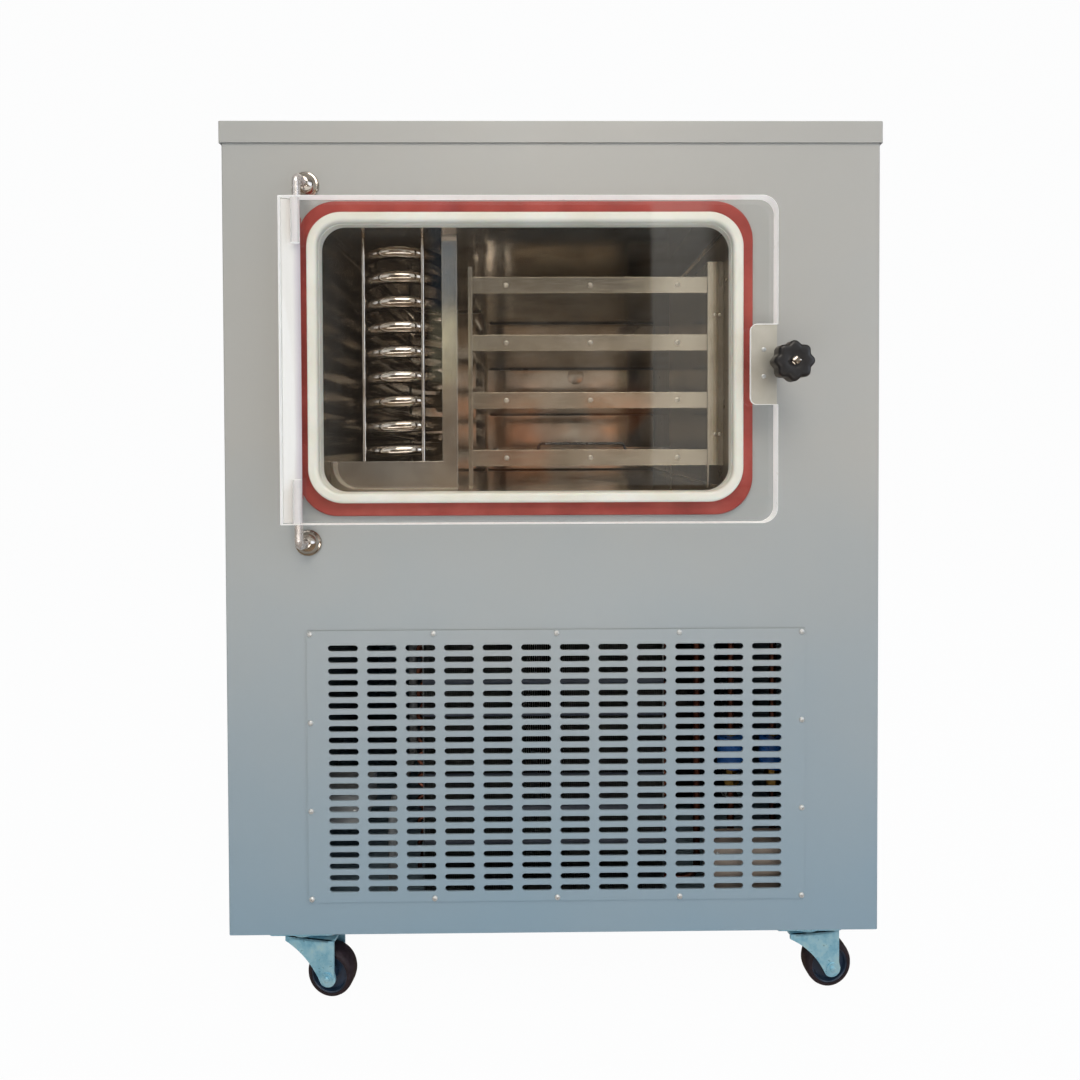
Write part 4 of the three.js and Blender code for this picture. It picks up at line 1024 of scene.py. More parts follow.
class DRYER_OT_stage(Operator):
    """Sets up the camera, the lamps, the floor and the wall behind"""

    bl_idname = "dryer.stage"
    bl_label = "Stage"

    def execute(self, context):
        scene, settings = context.scene, context.scene.dryer_stage
        scene.view_settings.view_transform = "Standard"
        camera = bpy.data.cameras.new("camera")
        camera.lens = settings.lens
        camera.sensor_width = 36
        camera.shift_x, camera.shift_y = settings.shift
        camera.clip_start, camera.clip_end = 0.05, 60
        stand = placed("camera", camera)
        stand.location = settings.camera_place
        turn, lean = Matrix.Rotation(settings.turn, 4, "Z"), Matrix.Rotation(settings.roll, 4, "Z")
        stand.rotation_euler = (turn @ Matrix.Rotation(math.pi / 2 - settings.tilt, 4, "X") @ lean).to_euler()
        scene.camera = stand
        room_light(settings)
        area_lamp("key", (0.0, -2.3, 2.9), (0, -0.2, 0.9), (1.7, 1.6), settings.key * 1.6, "#fff4e6")
        area_lamp("low", (-0.2, -2.0, 0.17), (0, -0.4, 0.8), (2.2, 0.26), settings.key * 0.28, "#fff6ec")
        area_lamp("fill", (2.5, -1.8, 1.3), (0, -0.2, 0.7), (1.4, 1.8), settings.key * 0.6, "#e6efff")
        area_lamp("back", (0.4, 2.6, 2.4), (0, 0.2, 0.7), (2.2, 1.4), settings.key * 0.9, "#f6f8ff")
        bm = bmesh.new()
        profile = [(-ROOM, 0.0), (2.2, 0.0), (2.6, 0.05), (3.0, 0.22), (3.3, 0.55), (3.4, 1.0), (3.4, ROOM)]
        skin(bm, [[Vector((-ROOM, y, z)), Vector((ROOM, y, z))] for y, z in profile], closed_round=False)
        mesh = as_mesh("backdrop", bm)
        mesh.shade_smooth()
        mesh.materials.append(finish(backdrop_finish))
        backdrop = placed("backdrop", mesh)
        return {"FINISHED"}


# ----------------------------------------------------------------------------------------------------------
# Screws
# ----------------------------------------------------------------------------------------------------------

PLACING = placing_tree()
ROW = row_tree()
BAR = bar_tree()
SHEET = perforation_tree()


def screw_head(radius, height):
    """A domed head with a cross recess, standing on the plane Z = 0."""
    dome = [(1, 0), (1, 0.3), (0.86, 0.74), (0.56, 1)]
    recess = [(1, 1), (0.7, 0.45)]
    arm, notch = 0.52, 0.17  # how far the cross reaches, as shares of the radius
    ways = [Vector((math.cos(a), math.sin(a))) for a in turns(16)]
    cross = [notch if i % 4 else arm for i in range(len(ways))]
    loops = [[Vector((*(way * (radius * reach)), height * rise)) for way in ways] for reach, rise in dome]
    for scale, rise in recess:
        loops.append([Vector((*(way * radius * end * scale), height * rise)) for way, end in zip(ways, cross)])
    bm = bmesh.new()
    close_ends(bm, skin(bm, loops))
    return loose_object("screw_head", bm)


def hex_head(radius, height):
    """A hexagon head with a chamfered top on a washer, standing on the plane Z = 0."""
    washer = [(0, 0), (1.25, 0), (1.25, 0.18), (0, 0.18)]
    hexagon = [(0, 0.1), (1, 0.1), (1, 0.85), (0.85, 1), (0, 1)]
    bm = bmesh.new()
    for shares, sides in ((washer, 20), (hexagon, 6)):
        lathe(bm, [(reach * radius, rise * height) for reach, rise in shares], Vector(), UP, sides)
    return loose_object("hex_head", bm)


def loose_object(name, bm):
    bmesh.ops.recalc_face_normals(bm, faces=bm.faces)
    return bpy.data.objects.new(name, as_mesh(name, bm))


def set_screws(name, points, way, copy, recipe=bright_zinc, body="cabinet", slot="zinc_plate"):
    """Sets a head on each point; the seed is fixed, so the recesses always point the same ways."""
    values = {"Copy": copy, "Facing": tuple(way), "Spin": FULL_TURN, "Seed": 7, "Finish": finish(recipe)}
    mesh = PLACING.grow(point_mesh(points), values)
    bpy.data.objects.remove(copy)
    return plain_piece(name, mesh, [recipe], body, slot, angle=40)


# ----------------------------------------------------------------------------------------------------------
# Cabinet
# ----------------------------------------------------------------------------------------------------------


class DRYER_OT_cabinet(Operator):
    """Makes the painted sheets, the cover and the deck under the chamber"""

    bl_idname = "dryer.cabinet"
    bl_label = "Cabinet"

    def execute(self, context):
        edge = context.scene.dryer_cabinet.edge
        panels = [f"{side}_panel" for side in ("front", "left_side", "right_side", "rear")]
        for node in (*panels, "base_pan", "top_cover"):
            softened_node(node, edge, powder_coat)
        softened_node("chamber_deck", edge, galvanised)
        self.fasten()
        return {"FINISHED"}

    def fasten(self):
        low, high, middle = corner_box("top_cover")
        z = low.z - 14 * MM
        reach = [low.y + 0.12, middle.y, high.y - 0.12]
        head = 4.2 * MM
        left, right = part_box("left_side_panel")[0].x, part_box("right_side_panel")[1].x
        for side, x, way in (("left", left, -RIGHT), ("right", right, RIGHT)):
            set_screws(f"{side}_panel_screws", [(x, y, z) for y in reach], way, screw_head(head, 2 * MM))
        low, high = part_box("rear_panel")
        inset = 9 * MM
        rows = [low.z + inset + i * (high.z - low.z - 0.05) / 4 for i in range(5)]
        points = [(x, high.y, z) for z in rows for x in (low.x + inset, high.x - inset)]
        points += [(x, high.y, low.z + inset) for x in (-0.22, 0.0, 0.22)]
        set_screws("rear_panel_screws", points, REARWARD, screw_head(head, 2 * MM))
        low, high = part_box("base_pan")
        points = [(low.x + 47 * MM, low.y + 12 * MM, low.z), (high.x - 47 * MM, high.y - 12 * MM, low.z)]
        set_screws("base_bolts", points, -UP, hex_head(6.5 * MM, 5.2 * MM))


class DRYER_OT_vent_panel(Operator):
    """Makes the slotted sheet and the screws that hold it"""

    bl_idname = "dryer.vent_panel"
    bl_label = "Vent panel"

    def execute(self, context):
        settings = context.scene.dryer_vent
        low, high, middle = corner_box("vent_panel")
        grid_centre = (-1.75 * MM, -3.015 * MM, 0)  # from the middle of the sheet
        values = {
            "Width": high.x - low.x, "Height": high.z - low.z, "Thickness": high.y - low.y,
            "Columns": settings.columns, "Rows": settings.rows, "Grid centre": grid_centre,
            "Column pitch": settings.column_pitch, "Row pitch": settings.row_pitch,
            "Slot length": settings.slot_length, "Slot height": settings.slot_height,
            "Centre": (middle.x, high.y, middle.z), "Finish": finish(powder_coat),
        }
        bm = as_bmesh(SHEET.grow(point_mesh([]), values))
        soften(bm, 0.3 * MM, segments=1, angle=60)
        piece("vent_panel_slotted", bm, [powder_coat], stands_for=["vent_panel"], flip=False)
        inset = 4.5 * MM
        x_step, z_step = (high.x - low.x - 2 * inset) / 4, (high.z - low.z - 2 * inset) / 3
        points = [
            (low.x + inset + i * x_step, low.y, low.z + inset + j * z_step)
            for i in range(5) for j in range(4) if j in (0, 3) or i in (0, 4)
        ]
        set_screws("vent_panel_screws", points, -REARWARD, screw_head(settings.screw / 2, 2.2 * MM))
        return {"FINISHED"}


# ----------------------------------------------------------------------------------------------------------
# Chamber and seals
# ----------------------------------------------------------------------------------------------------------


def drilled(target, start, way, radius, depth, sides):
    """A bmesh with a round hole drilled through it."""
    drill = bmesh.new()
    lathe(drill, [(0, 0), (radius, 0), (radius, depth), (0, depth)], start, way, sides)
    body, tool = loose_object("body", target), loose_object("tool", drill)
    for made in (body, tool):
        bpy.context.scene.collection.objects.link(made)
    modifier = body.modifiers.new("cut", "BOOLEAN")
    modifier.operation, modifier.solver, modifier.object = "DIFFERENCE", "EXACT", tool
    mesh = evaluated(body)
    for made in (body, tool):
        bpy.data.objects.remove(made)
    return as_bmesh(mesh)


def ring_around(node):
    """Centre in X and Z, width and height of a node in the front view."""
    low, high, middle = corner_box(node)
    return (middle.x, middle.z), high.x - low.x, high.z - low.z


class DRYER_OT_chamber(Operator):
    """Makes the polished lining, the insulation, the gasket and the seal round the mouth"""

    bl_idname = "dryer.chamber"
    bl_label = "Chamber"

    def execute(self, context):
        self.line(context.scene.dryer_chamber)
        self.seal()
        softened_node("insulation_jacket", 1.5 * MM, jacket_foam, segments=3)
        return {"FINISHED"}

    def line(self, settings):
        """Walls folded and welded from one sheet, with a rolled edge at the mouth."""
        low, high, middle = corner_box("chamber_shell")
        back_low, back_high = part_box("chamber_back")
        centre, width, height = ring_around("chamber_shell")
        wall, inside = 3 * MM, 35 * MM  # inside: from the flange's outer edge to the walls' inner faces
        outside = inside - wall
        corner = settings.corner + inside
        end = back_low.y
        section = [
            (0, low.y + wall), (0, low.y), (inside - 2 * MM, low.y), (inside - 0.6 * MM, low.y + 0.6 * MM),
            (inside, low.y + 2 * MM), (inside, end - GAP), (outside, end - GAP), (outside, low.y + wall),
        ]
        bm = bmesh.new()
        frame_ring(bm, section, centre, width, height, corner, steps=12)
        _, drain_top, drain = corner_box("drain_pipe")
        hole = Vector((drain.x, drain_top.y - 7 * MM, middle.z - height / 2 + inside + 4 * MM))
        lining = drilled(bm, hole, -UP, 6 * MM, 12 * MM, 24)
        # painted shade: faces that face left, the right wall's inside among them, take a darker copy of the lining's
        # steel
        for face in lining.faces:
            face.material_index = int(face.normal.x < -0.7)
        piece("chamber_lining", lining, [mirror_steel, buffed_steel_painted_shade], stands_for=["chamber_shell"], angle=40)
        port = corner_box("vacuum_port")[2]
        bm = bmesh.new()
        w, h = width - 2 * outside, height - 2 * outside
        loops = [frame_loop(centre, w, h, corner - outside, y, 12) for y in (back_low.y, back_high.y)]
        close_ends(bm, skin(bm, loops))
        plate = drilled(bm, Vector((port.x, back_low.y - 5 * MM, port.z)), REARWARD, 11 * MM, 20 * MM, 32)
        # painted light: the rear plate takes a paler copy of the lining's steel
        piece("chamber_back_plate", plate, [mirror_steel_painted_light], stands_for=["chamber_back"], angle=40)
        self.baffle(Vector((port.x, back_low.y, port.z)))
        self.weld(centre, width - 2 * inside, height - 2 * inside, settings.corner, end)

    def baffle(self, centre):
        """A thin disc that keeps drops out of the vacuum line."""
        bm = bmesh.new()
        profile = [(0, 0.4), (17.4, 0.4), (18, 0.7), (18, 1.3), (17.4, 1.6), (0, 1.6)]
        lathe(bm, [(r * MM, along * MM) for r, along in profile], centre, -REARWARD, 48)
        piece("vacuum_port_baffle", bm, [mirror_steel], slot="polished_stainless", angle=40)

    def weld(self, centre, width, height, corner, y):
        """The seam where the back plate meets the walls, ground smooth."""
        fillet = [(0.1, 2.6), (0.9, 1.5), (1.7, 0.8), (2.8, 0.1), (0.1, 0.1)]
        section = [(inset * MM, y - depth * MM) for inset, depth in fillet]
        bm = bmesh.new()
        frame_ring(bm, section, centre, width, height, corner, steps=12)
        piece("chamber_weld_seam", bm, [brushed_steel], slot="polished_stainless", angle=60)

    def seal(self):
        """The gasket is a broad bead with a lip inside it; the red ring lies flat behind it."""
        low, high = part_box("mouth_gasket")
        centre, width, height = gasket = ring_around("mouth_gasket")
        inner_face = 13.5
        bead = [
            (0, 6.5), (0, 3.4), (0.35, 2.1), (1.1, 1.05), (2.2, 0.35), (3.4, 0.05), (4.8, 0), (6.4, 0),
            (8.2, 0), (9.8, 0.1), (11.1, 0.55), (12.2, 1.4), (13.0, 2.7), (13.35, 4.4), (13.4, 6.4),
            (13.3, 8.6), (12.5, 9.1), (12.0, 9.9), (12.5, 10.7), (13.3, 11.1), (inner_face, 12.0),
        ]
        section = [(inset * MM, low.y + depth * MM) for inset, depth in bead]
        section = [(0, high.y), *section, (inner_face * MM, high.y)]
        bm = bmesh.new()
        frame_ring(bm, section, centre, width, height, 45 * MM, steps=16)
        piece("mouth_gasket_bead", bm, [cream_silicone], stands_for=["mouth_gasket"], angle=50)
        low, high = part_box("neck_seal")
        centre, width, height = ring_around("neck_seal")
        inner = (width - gasket[1]) / 2 - 0.5 * MM
        inner_tall = (height - gasket[2]) / 2 - 0.5 * MM
        section = [
            (0, high.y), (0, low.y + 1.6 * MM), (0.04, low.y + 0.6 * MM), (0.12, low.y), (0.94, low.y),
            (1, low.y + 0.6 * MM), (1, high.y),
        ]
        loops = []
        for share, y in section:
            w, h = width - 2 * share * inner, height - 2 * share * inner_tall
            loops.append(frame_loop(centre, w, h, 50 * MM - 4.5 * MM * share, y, 16))
        bm = bmesh.new()
        skin(bm, loops, closed_along=True)
        piece("neck_seal_ring", bm, [red_silicone], stands_for=["neck_seal"], angle=50)


# ----------------------------------------------------------------------------------------------------------
# Door, hinges and clamp
# ----------------------------------------------------------------------------------------------------------


class DRYER_OT_door(Operator):
    """Makes the clear door with its edge tape and its latch plate"""

    bl_idname = "dryer.door"
    bl_label = "Door"

    def execute(self, context):
        hinge = JOINTS["door_hinge"]["pos_m"]
        bm = welded_copy("door_plate")
        soften(bm, context.scene.dryer_door.edge, 2, 40)
        bm.normal_update()
        bevel_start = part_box("door_plate")[1].y - 12.5 * MM
        for face in bm.faces:
            place, way = face.calc_center_median(), face.normal
            in_hole = math.hypot(place.x - hinge[0], place.y - hinge[1]) < 8 * MM and abs(way.z) < 0.9
            behind = way.y > 0.5 and place.y > bevel_start
            clear = abs(way.y) > 0.93 or behind
            face.material_index = 2 if in_hole else 0 if clear else 1
        finishes = [clear_acrylic, acrylic_edge, drilled_acrylic]
        piece("door_sheet", bm, finishes, "door", stands_for=["door_plate"], flip=False, angle=14)
        softened_node("door_edge_strip", 0.25 * MM, white_strip)
        softened_node("latch_plate", 0.35 * MM, satin_steel, segments=3)
        low, high, middle = corner_box("latch_plate")
        x = low.x + 17 * MM
        places = [(x, low.y, middle.z + dz) for dz in (19 * MM, -15 * MM)]
        set_screws("latch_plate_screws", places, -REARWARD, screw_head(2.9 * MM, 1.2 * MM), body="door")
        return {"FINISHED"}


class DRYER_OT_hinges(Operator):
    """Makes the rosettes on the panel, each with the bent rod that ends in the door"""

    bl_idname = "dryer.hinges"
    bl_label = "Hinges"

    def execute(self, context):
        settings = context.scene.dryer_door
        radius, rod = settings.rosette / 2, settings.rod / 2
        turned = [
            (0, 0.3), (16.9, 0.3), (17.5, 0.9), (17.5, 2.4), (16.6, 3.6), (14.9, 4.1), (14.3, 4.9), (13.4, 7.4),
            (11.6, 10.0), (9.0, 12.2), (7.6, 13.2), (6.4, 13.9), (0, 14.0),
        ]
        scale = radius / 17.5
        profile = [(r * scale, along * MM) for r, along in turned]
        for node, up in (("upper_hinge_post", 1), ("lower_hinge_post", -1)):
            low, high, middle = corner_box(node)
            x = middle.x
            z = high.z - radius if up > 0 else low.z + radius
            tip = low.z if up > 0 else high.z
            bm = bmesh.new()
            lathe(bm, profile, Vector((x, FRONT, z)), -REARWARD, 48)
            axis_y = low.y + rod
            path = bent_path([(x, FRONT - 8 * MM, z), (x, axis_y, z), (x, axis_y, tip)], 9 * MM, 10)
            tube(bm, path, rod, 24, material=1, chamfer=1.4 * MM)
            piece(f"{node}_turned", bm, [polished_steel_rod, nickel_rod], stands_for=[node], angle=32)
        return {"FINISHED"}


class DRYER_OT_clamp(Operator):
    """Makes the star knob, its bolt and washer, and the boss on the panel"""

    bl_idname = "dryer.clamp"
    bl_label = "Clamp"

    def execute(self, context):
        settings = context.scene.dryer_door
        low, high, middle = corner_box("star_knob")
        centre = Vector((middle.x, 0, middle.z))
        self.knob(centre, low.y, high.y, settings.knob / 2, settings.lobes)
        self.bolt(centre)
        softened_node("clamp_washer", 0.3 * MM, bright_zinc, segments=2)
        softened_node("latch_boss", 0.5 * MM, polished_steel_rod, segments=2)
        return {"FINISHED"}

    def knob(self, centre, front, back, radius, lobes):
        """Eight finger lobes with rolled edges, a dished face and a hub behind."""
        steps = lobes * 14

        def star(inset, y, round_share=0.0, round_radius=0.0):
            loop = []
            for a in turns(steps):
                swell = (1 + math.cos(lobes * a)) / 2
                edge = radius - 3.4 * MM * (1 - swell**0.8)
                reach = (edge - inset) * (1 - round_share) + round_radius * round_share
                loop.append(Vector((centre.x + reach * math.cos(a), y, centre.z + reach * math.sin(a))))
            return loop

        shoulder = front + 22 * MM
        loops = [
            star(0, front + 1.2 * MM, 1, 5.4 * MM), star(0, front + 1.2 * MM, 1, 8.4 * MM),
            star(0, front + 0.2 * MM, 1, 10.4 * MM), star(6.0 * MM, front, 0.3, 14 * MM),
            star(3.6 * MM, front + 0.3 * MM), star(1.7 * MM, front + 1.2 * MM),
            star(0.5 * MM, front + 2.8 * MM), star(0, front + 5 * MM), star(0, shoulder - 5 * MM), star(0.6 * MM, shoulder - 2.4 * MM),
            star(2.2 * MM, shoulder - 0.6 * MM), star(4.6 * MM, shoulder, 0.3, 16 * MM),
            star(0, shoulder + 0.4 * MM, 1, 14 * MM), star(0, back - 0.6 * MM, 1, 13.2 * MM),
            star(0, back, 1, 12.6 * MM), star(0, back, 1, 5.4 * MM),
        ]
        bm = bmesh.new()
        skin(bm, loops, closed_along=True)
        piece("star_knob_moulded", bm, [knob_phenolic], "clamp", stands_for=["star_knob"], angle=50)

    def bolt(self, centre):
        """A square end that is filed to a low pyramid, and a screw thread 1.5 mm from crest to crest."""
        low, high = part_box("clamp_bolt")
        head_back = low.y + 4.7 * MM
        bm = bmesh.new()
        loops = []
        for reach, y in ((6.4, head_back), (6.4, low.y + 2.2 * MM), (5.9, low.y + 1.3 * MM), (3.2, low.y)):
            side, top = reach * MM, reach * 0.86 * MM
            square = rounded([(side, 0), (0, top), (-side, 0), (0, -top)], 1.1 * MM)
            loops.append([Vector((centre.x + u, y, centre.z + v)) for u, v in square])
        close_ends(bm, skin(bm, loops))
        crest, root, pitch = 5.0 * MM, 4.2 * MM, 1.5 * MM
        shank, length = 40 * MM, high.y - head_back
        count = int((length - shank - 3 * MM) / pitch)
        profile = [(0, 0), (crest, 0)]
        for i in range(count):
            profile += [(crest, shank + i * pitch), (root, shank + (i + 0.5) * pitch)]
        profile += [(crest, shank + count * pitch), (crest - 1.2 * MM, length), (0, length)]
        lathe(bm, profile, Vector((centre.x, head_back, centre.z)), REARWARD, 24)
        piece("clamp_bolt_threaded", bm, [polished_steel_rod], "clamp", stands_for=["clamp_bolt"], angle=30)


# ----------------------------------------------------------------------------------------------------------
# Inside the chamber
# ----------------------------------------------------------------------------------------------------------


def coil_path(settings):
    """Front-to-rear oval turns that step down evenly, with tails that run to the rear wall."""
    low, high, middle = corner_box("trap_coil")
    bend, tube_radius = settings.coil_bend, settings.coil_tube / 2
    front = low.y + tube_radius + bend
    drop_all = (settings.turns - 1) * settings.coil_pitch
    top = middle.z + drop_all / 2
    straight = 290 * MM
    rear = front + straight
    wall = high.y
    per_turn = 2 * (math.pi * bend + straight)
    flat = [Vector((middle.x + bend, wall, 0))]
    for turn in range(settings.turns):
        bends = [(front, 0, -math.pi)] + ([(rear, math.pi, 0)] if turn < settings.turns - 1 else [])
        for centre, start, end in bends:
            for step in range(25):
                a = start + (end - start) * step / 24
                flat.append(Vector((middle.x + bend * math.cos(a), centre + bend * math.sin(a), 0)))
    flat.append(Vector((middle.x - bend, wall, 0)))
    first = math.pi * bend / 2 + wall - front
    travelled, path = 0.0, []
    for i, point in enumerate(flat):
        travelled += (point - flat[i - 1]).length if i else 0
        turned_down = min(max((travelled - first) / per_turn, 0), settings.turns - 1)
        path.append(Vector((point.x, point.y, top - turned_down * settings.coil_pitch)))
    return path


class DRYER_OT_trap(Operator):
    """Makes the cold-trap coil, the rods in front of it and the folded screen"""

    bl_idname = "dryer.trap"
    bl_label = "Cold trap"

    def execute(self, context):
        settings = context.scene.dryer_chamber
        values = {"Radius": settings.coil_tube / 2, "Sides": 28, "Finish": finish(coil_steel)}
        mesh = BAR.grow(path_mesh(coil_path(settings)), values)
        plain_piece("trap_coil_tube", mesh, [coil_steel], stands_for=["trap_coil"], angle=60)
        for node in ("coil_rod_left", "coil_rod_right"):
            low, high, middle = corner_box(node)
            r, chamfer, tall = 2.5 * MM, 0.4 * MM, high.z - low.z
            profile = [(0, 0), (r - chamfer, 0), (r, chamfer)]
            profile += [(radius, tall - along) for radius, along in reversed(profile)]
            bm = bmesh.new()
            lathe(bm, profile, Vector((middle.x, middle.y, low.z)), UP, 20)
            piece(f"{node}_turned", bm, [coil_steel], stands_for=[node], angle=50)
        softened_node("trap_screen", 0.4 * MM, mirror_steel, segments=3)
        return {"FINISHED"}


class DRYER_OT_shelves(Operator):
    """Makes the shelves with their screws, the posts, the side plate and the tray"""

    bl_idname = "dryer.shelves"
    bl_label = "Shelves"

    def execute(self, context):
        points = []
        for i in range(1, 5):
            node = f"shelf_{i}"
            softened_node(node, 0.5 * MM, ground_steel, segments=3)
            low, high, middle = corner_box(node)
            points += [(x, low.y, middle.z) for x in (low.x + 46 * MM, low.x + 161 * MM, high.x - 41 * MM)]
        # painted shadow: black strips under shelves 1 to 3, near their rear edges, draw the dark line of shade beneath
        # each shelf
        bm = bmesh.new()
        for i in range(1, 4):
            low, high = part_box(f"shelf_{i}")
            left, right, y = low.x + 5 * MM, high.x - 34 * MM, high.y - 34 * MM
            block(bm, (left, y, low.z - 2.4 * MM), (right, y + 3 * MM, low.z))
        piece("shelf_stiffeners", bm, [black_enamel], slot="brushed_stainless")
        set_screws("shelf_screws", points, -REARWARD, screw_head(3.4 * MM, 1.1 * MM), brushed_steel,
                   slot="brushed_stainless")
        for node in ("shelf_post_front", "shelf_post_rear", "shelf_side_plate"):
            softened_node(node, 0.45 * MM, ground_steel, segments=2)
        low, high, middle = corner_box("shelf_side_plate")
        points = [(middle.x + dx, low.y, z) for dx in (-1 * MM, 5.5 * MM) for z in (932 * MM, 769 * MM)]
        set_screws("side_plate_screws", points, -REARWARD, screw_head(2.4 * MM, 1.1 * MM), brushed_steel,
                   slot="brushed_stainless")
        softened_node("tray", 0.3 * MM, mirror_steel, segments=2)
        self.handle()
        return {"FINISHED"}

    def handle(self):
        low, high, middle = corner_box("tray_handle")
        wire = 1.8 * MM
        y = middle.y
        ends = [(low.x + wire, y, low.z), (low.x + wire, y, high.z - wire),
                (high.x - wire, y, high.z - wire), (high.x - wire, y, low.z)]
        bm = bmesh.new()
        tube(bm, bent_path(ends, 6 * MM, 8), wire, 16, chamfer=0.5 * MM)
        piece("tray_handle_wire", bm, [handle_enamel], stands_for=["tray_handle"], angle=50)


# ----------------------------------------------------------------------------------------------------------
# Refrigeration unit
# ----------------------------------------------------------------------------------------------------------


class DRYER_OT_condenser(Operator):
    """Makes the condenser's fins, end plates and tubes, and the shroud behind them"""

    bl_idname = "dryer.condenser"
    bl_label = "Condenser"

    def execute(self, context):
        low, high, middle = corner_box("condenser_core")
        front = low.y + 8.5 * MM
        wall = 2 * MM
        self.fins(low, high, front, context.scene.dryer_plant.fin_pitch, wall)
        self.ends(low, high, front, wall)
        self.tubes(low, high, front, wall)
        softened_node("fan_shroud", 0.4 * MM, galvanised)
        return {"FINISHED"}

    def fins(self, low, high, front, pitch, wall):
        count = int((high.x - low.x - 2 * wall - 2 * MM) / pitch)
        start = low.x + wall + (high.x - low.x - 2 * wall - (count - 1) * pitch) / 2
        half = 0.12 * MM
        bm = bmesh.new()
        block(bm, (start - half, front + MM, low.z + 4 * MM), (start + half, high.y - MM, high.z - 4 * MM))
        bmesh.ops.recalc_face_normals(bm, faces=bm.faces)
        fin = bpy.data.meshes.new("fin")
        bm.to_mesh(fin)
        bm.free()
        mesh = ROW.grow(fin, {"Count": count, "Step": (pitch, 0, 0), "Finish": finish(fin_aluminium)})
        plain_piece("condenser_fins", mesh, [fin_aluminium], slot="galvanised_steel")

    def ends(self, low, high, front, wall):
        bm = bmesh.new()
        for x in (low.x, high.x - wall):
            block(bm, (x, front, low.z), (x + wall, high.y, high.z))
        block(bm, (low.x + wall, front, low.z), (high.x - wall, high.y, low.z + 3 * MM))
        block(bm, (low.x + wall, front, high.z - 3 * MM), (high.x - wall, high.y, high.z))
        soften(bm, 0.4 * MM)
        piece("condenser_frame", bm, [galvanised], stands_for=["condenser_core"], flip=False)

    def tubes(self, low, high, front, wall):
        """Six tubes run across the front face, and the rest show only as bends at the ends."""
        r, pitch, first = 4.5 * MM, 46.4 * MM, 182 * MM
        bm = bmesh.new()
        for i in range(6):
            z = first + i * pitch
            y = low.y + r
            tube(bm, [(low.x + wall, y, z), (0, y, z), (high.x - wall, y, z)], r, 20)
        piece("condenser_front_tubes", bm, [slate_enamel], slot="galvanised_steel")
        bm = bmesh.new()
        reach = 9 * MM
        for side, x in ((-1, low.x), (1, high.x)):
            for i in range(11):
                z = low.z + 22 * MM + i * 32 * MM
                for y in (front + 16 * MM, front + 36 * MM):
                    bend = [
                        (x + side * reach * math.sin(a), y, z + reach - reach * math.cos(a))
                        for a in [math.pi * s / 8 for s in range(9)]
                    ]
                    tube(bm, bend, 3.6 * MM, 10)
        piece("condenser_return_bends", bm, [drawn_copper], slot="copper")


def slate_enamel():
    """Tube painted slate grey: dull, with patches of dust."""
    return moulded("slate_painted_tube", "#3e4450", "#565d6b")


def fin_aluminium():
    """Thin aluminium fins: patchy grey, duller in places."""
    made = Finish("aluminium_fins", Metallic=0.9)
    made.coloured(made.noise(35, 4.0, 0.6), "#6f7679", "#9aa0a2", "#b4b9ba")
    return made.rough(made.noise(15, 3.0), 0.35, 0.55)


class DRYER_OT_fan(Operator):
    """Makes the fan's curved blades, the motor behind them and the black foam behind the rear slots, which is painted
    shade
    """

    bl_idname = "dryer.fan"
    bl_label = "Fan"

    def execute(self, context):
        spin = JOINTS["fan_spin"]["pos_m"]
        axis = Vector((spin[0], FRONT + 176 * MM, spin[2]))
        self.rotor(axis, context.scene.dryer_plant.blades)
        softened_node("fan_motor", 0.8 * MM, black_enamel, segments=3)
        # painted shade: a dead black sheet behind the rear slots keeps the inside dark where it shows through the vent
        back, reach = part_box("rear_panel")[0].y - GAP, Vector((0.143, 0, 0.124))
        bm = bmesh.new()
        block(bm, Vector((axis.x, back - 5 * MM, axis.z)) - reach, Vector((axis.x, back, axis.z)) + reach)
        piece("exhaust_filter", bm, [filter_foam], slot="black_plastic")
        return {"FINISHED"}

    def rotor(self, axis, blades):
        bm = bmesh.new()
        hub = [(0, -15), (26, -15), (30.5, -13.6), (32, -11), (32, 15), (4.7, 15), (4.7, -6), (0, -6)]
        lathe(bm, [(r * MM, along * MM) for r, along in hub], axis, REARWARD, 48)
        root, tip, thick = 31 * MM, 140 * MM, 1.25 * MM
        for i in range(blades):
            turn = Matrix.Rotation(FULL_TURN * i / blades, 3, "Y")
            loops = []
            for step in range(11):
                share = step / 10
                reach = root + (tip - root) * share
                chord = 30 * MM + 10 * MM * math.sin(math.pi * min(1.0, share * 1.15) * 0.5)
                if share > 0.85:
                    chord *= 1 - 1.4 * (share - 0.85)
                pitch = math.radians(38 - 14 * share)
                loop = []
                for side in (1, -1):
                    spread = [-1 + 2 * k / 8 for k in range(9)]
                    for c in spread if side > 0 else reversed(spread):
                        camber = 3.2 * MM * (1 - c * c)
                        along, across = c * chord, camber + side * thick * (1 - 0.7 * c * c)
                        around = along * math.cos(pitch) - across * math.sin(pitch)
                        depth = along * math.sin(pitch) + across * math.cos(pitch)
                        angle = around / max(reach, 45 * MM)
                        place = Vector((reach * math.cos(angle), depth, reach * math.sin(angle)))
                        loop.append(axis + turn @ place)
                loops.append(loop)
            close_ends(bm, skin(bm, loops))
        piece("fan_rotor_moulded", bm, [black_nylon], "fan", stands_for=["fan_rotor"], angle=40)


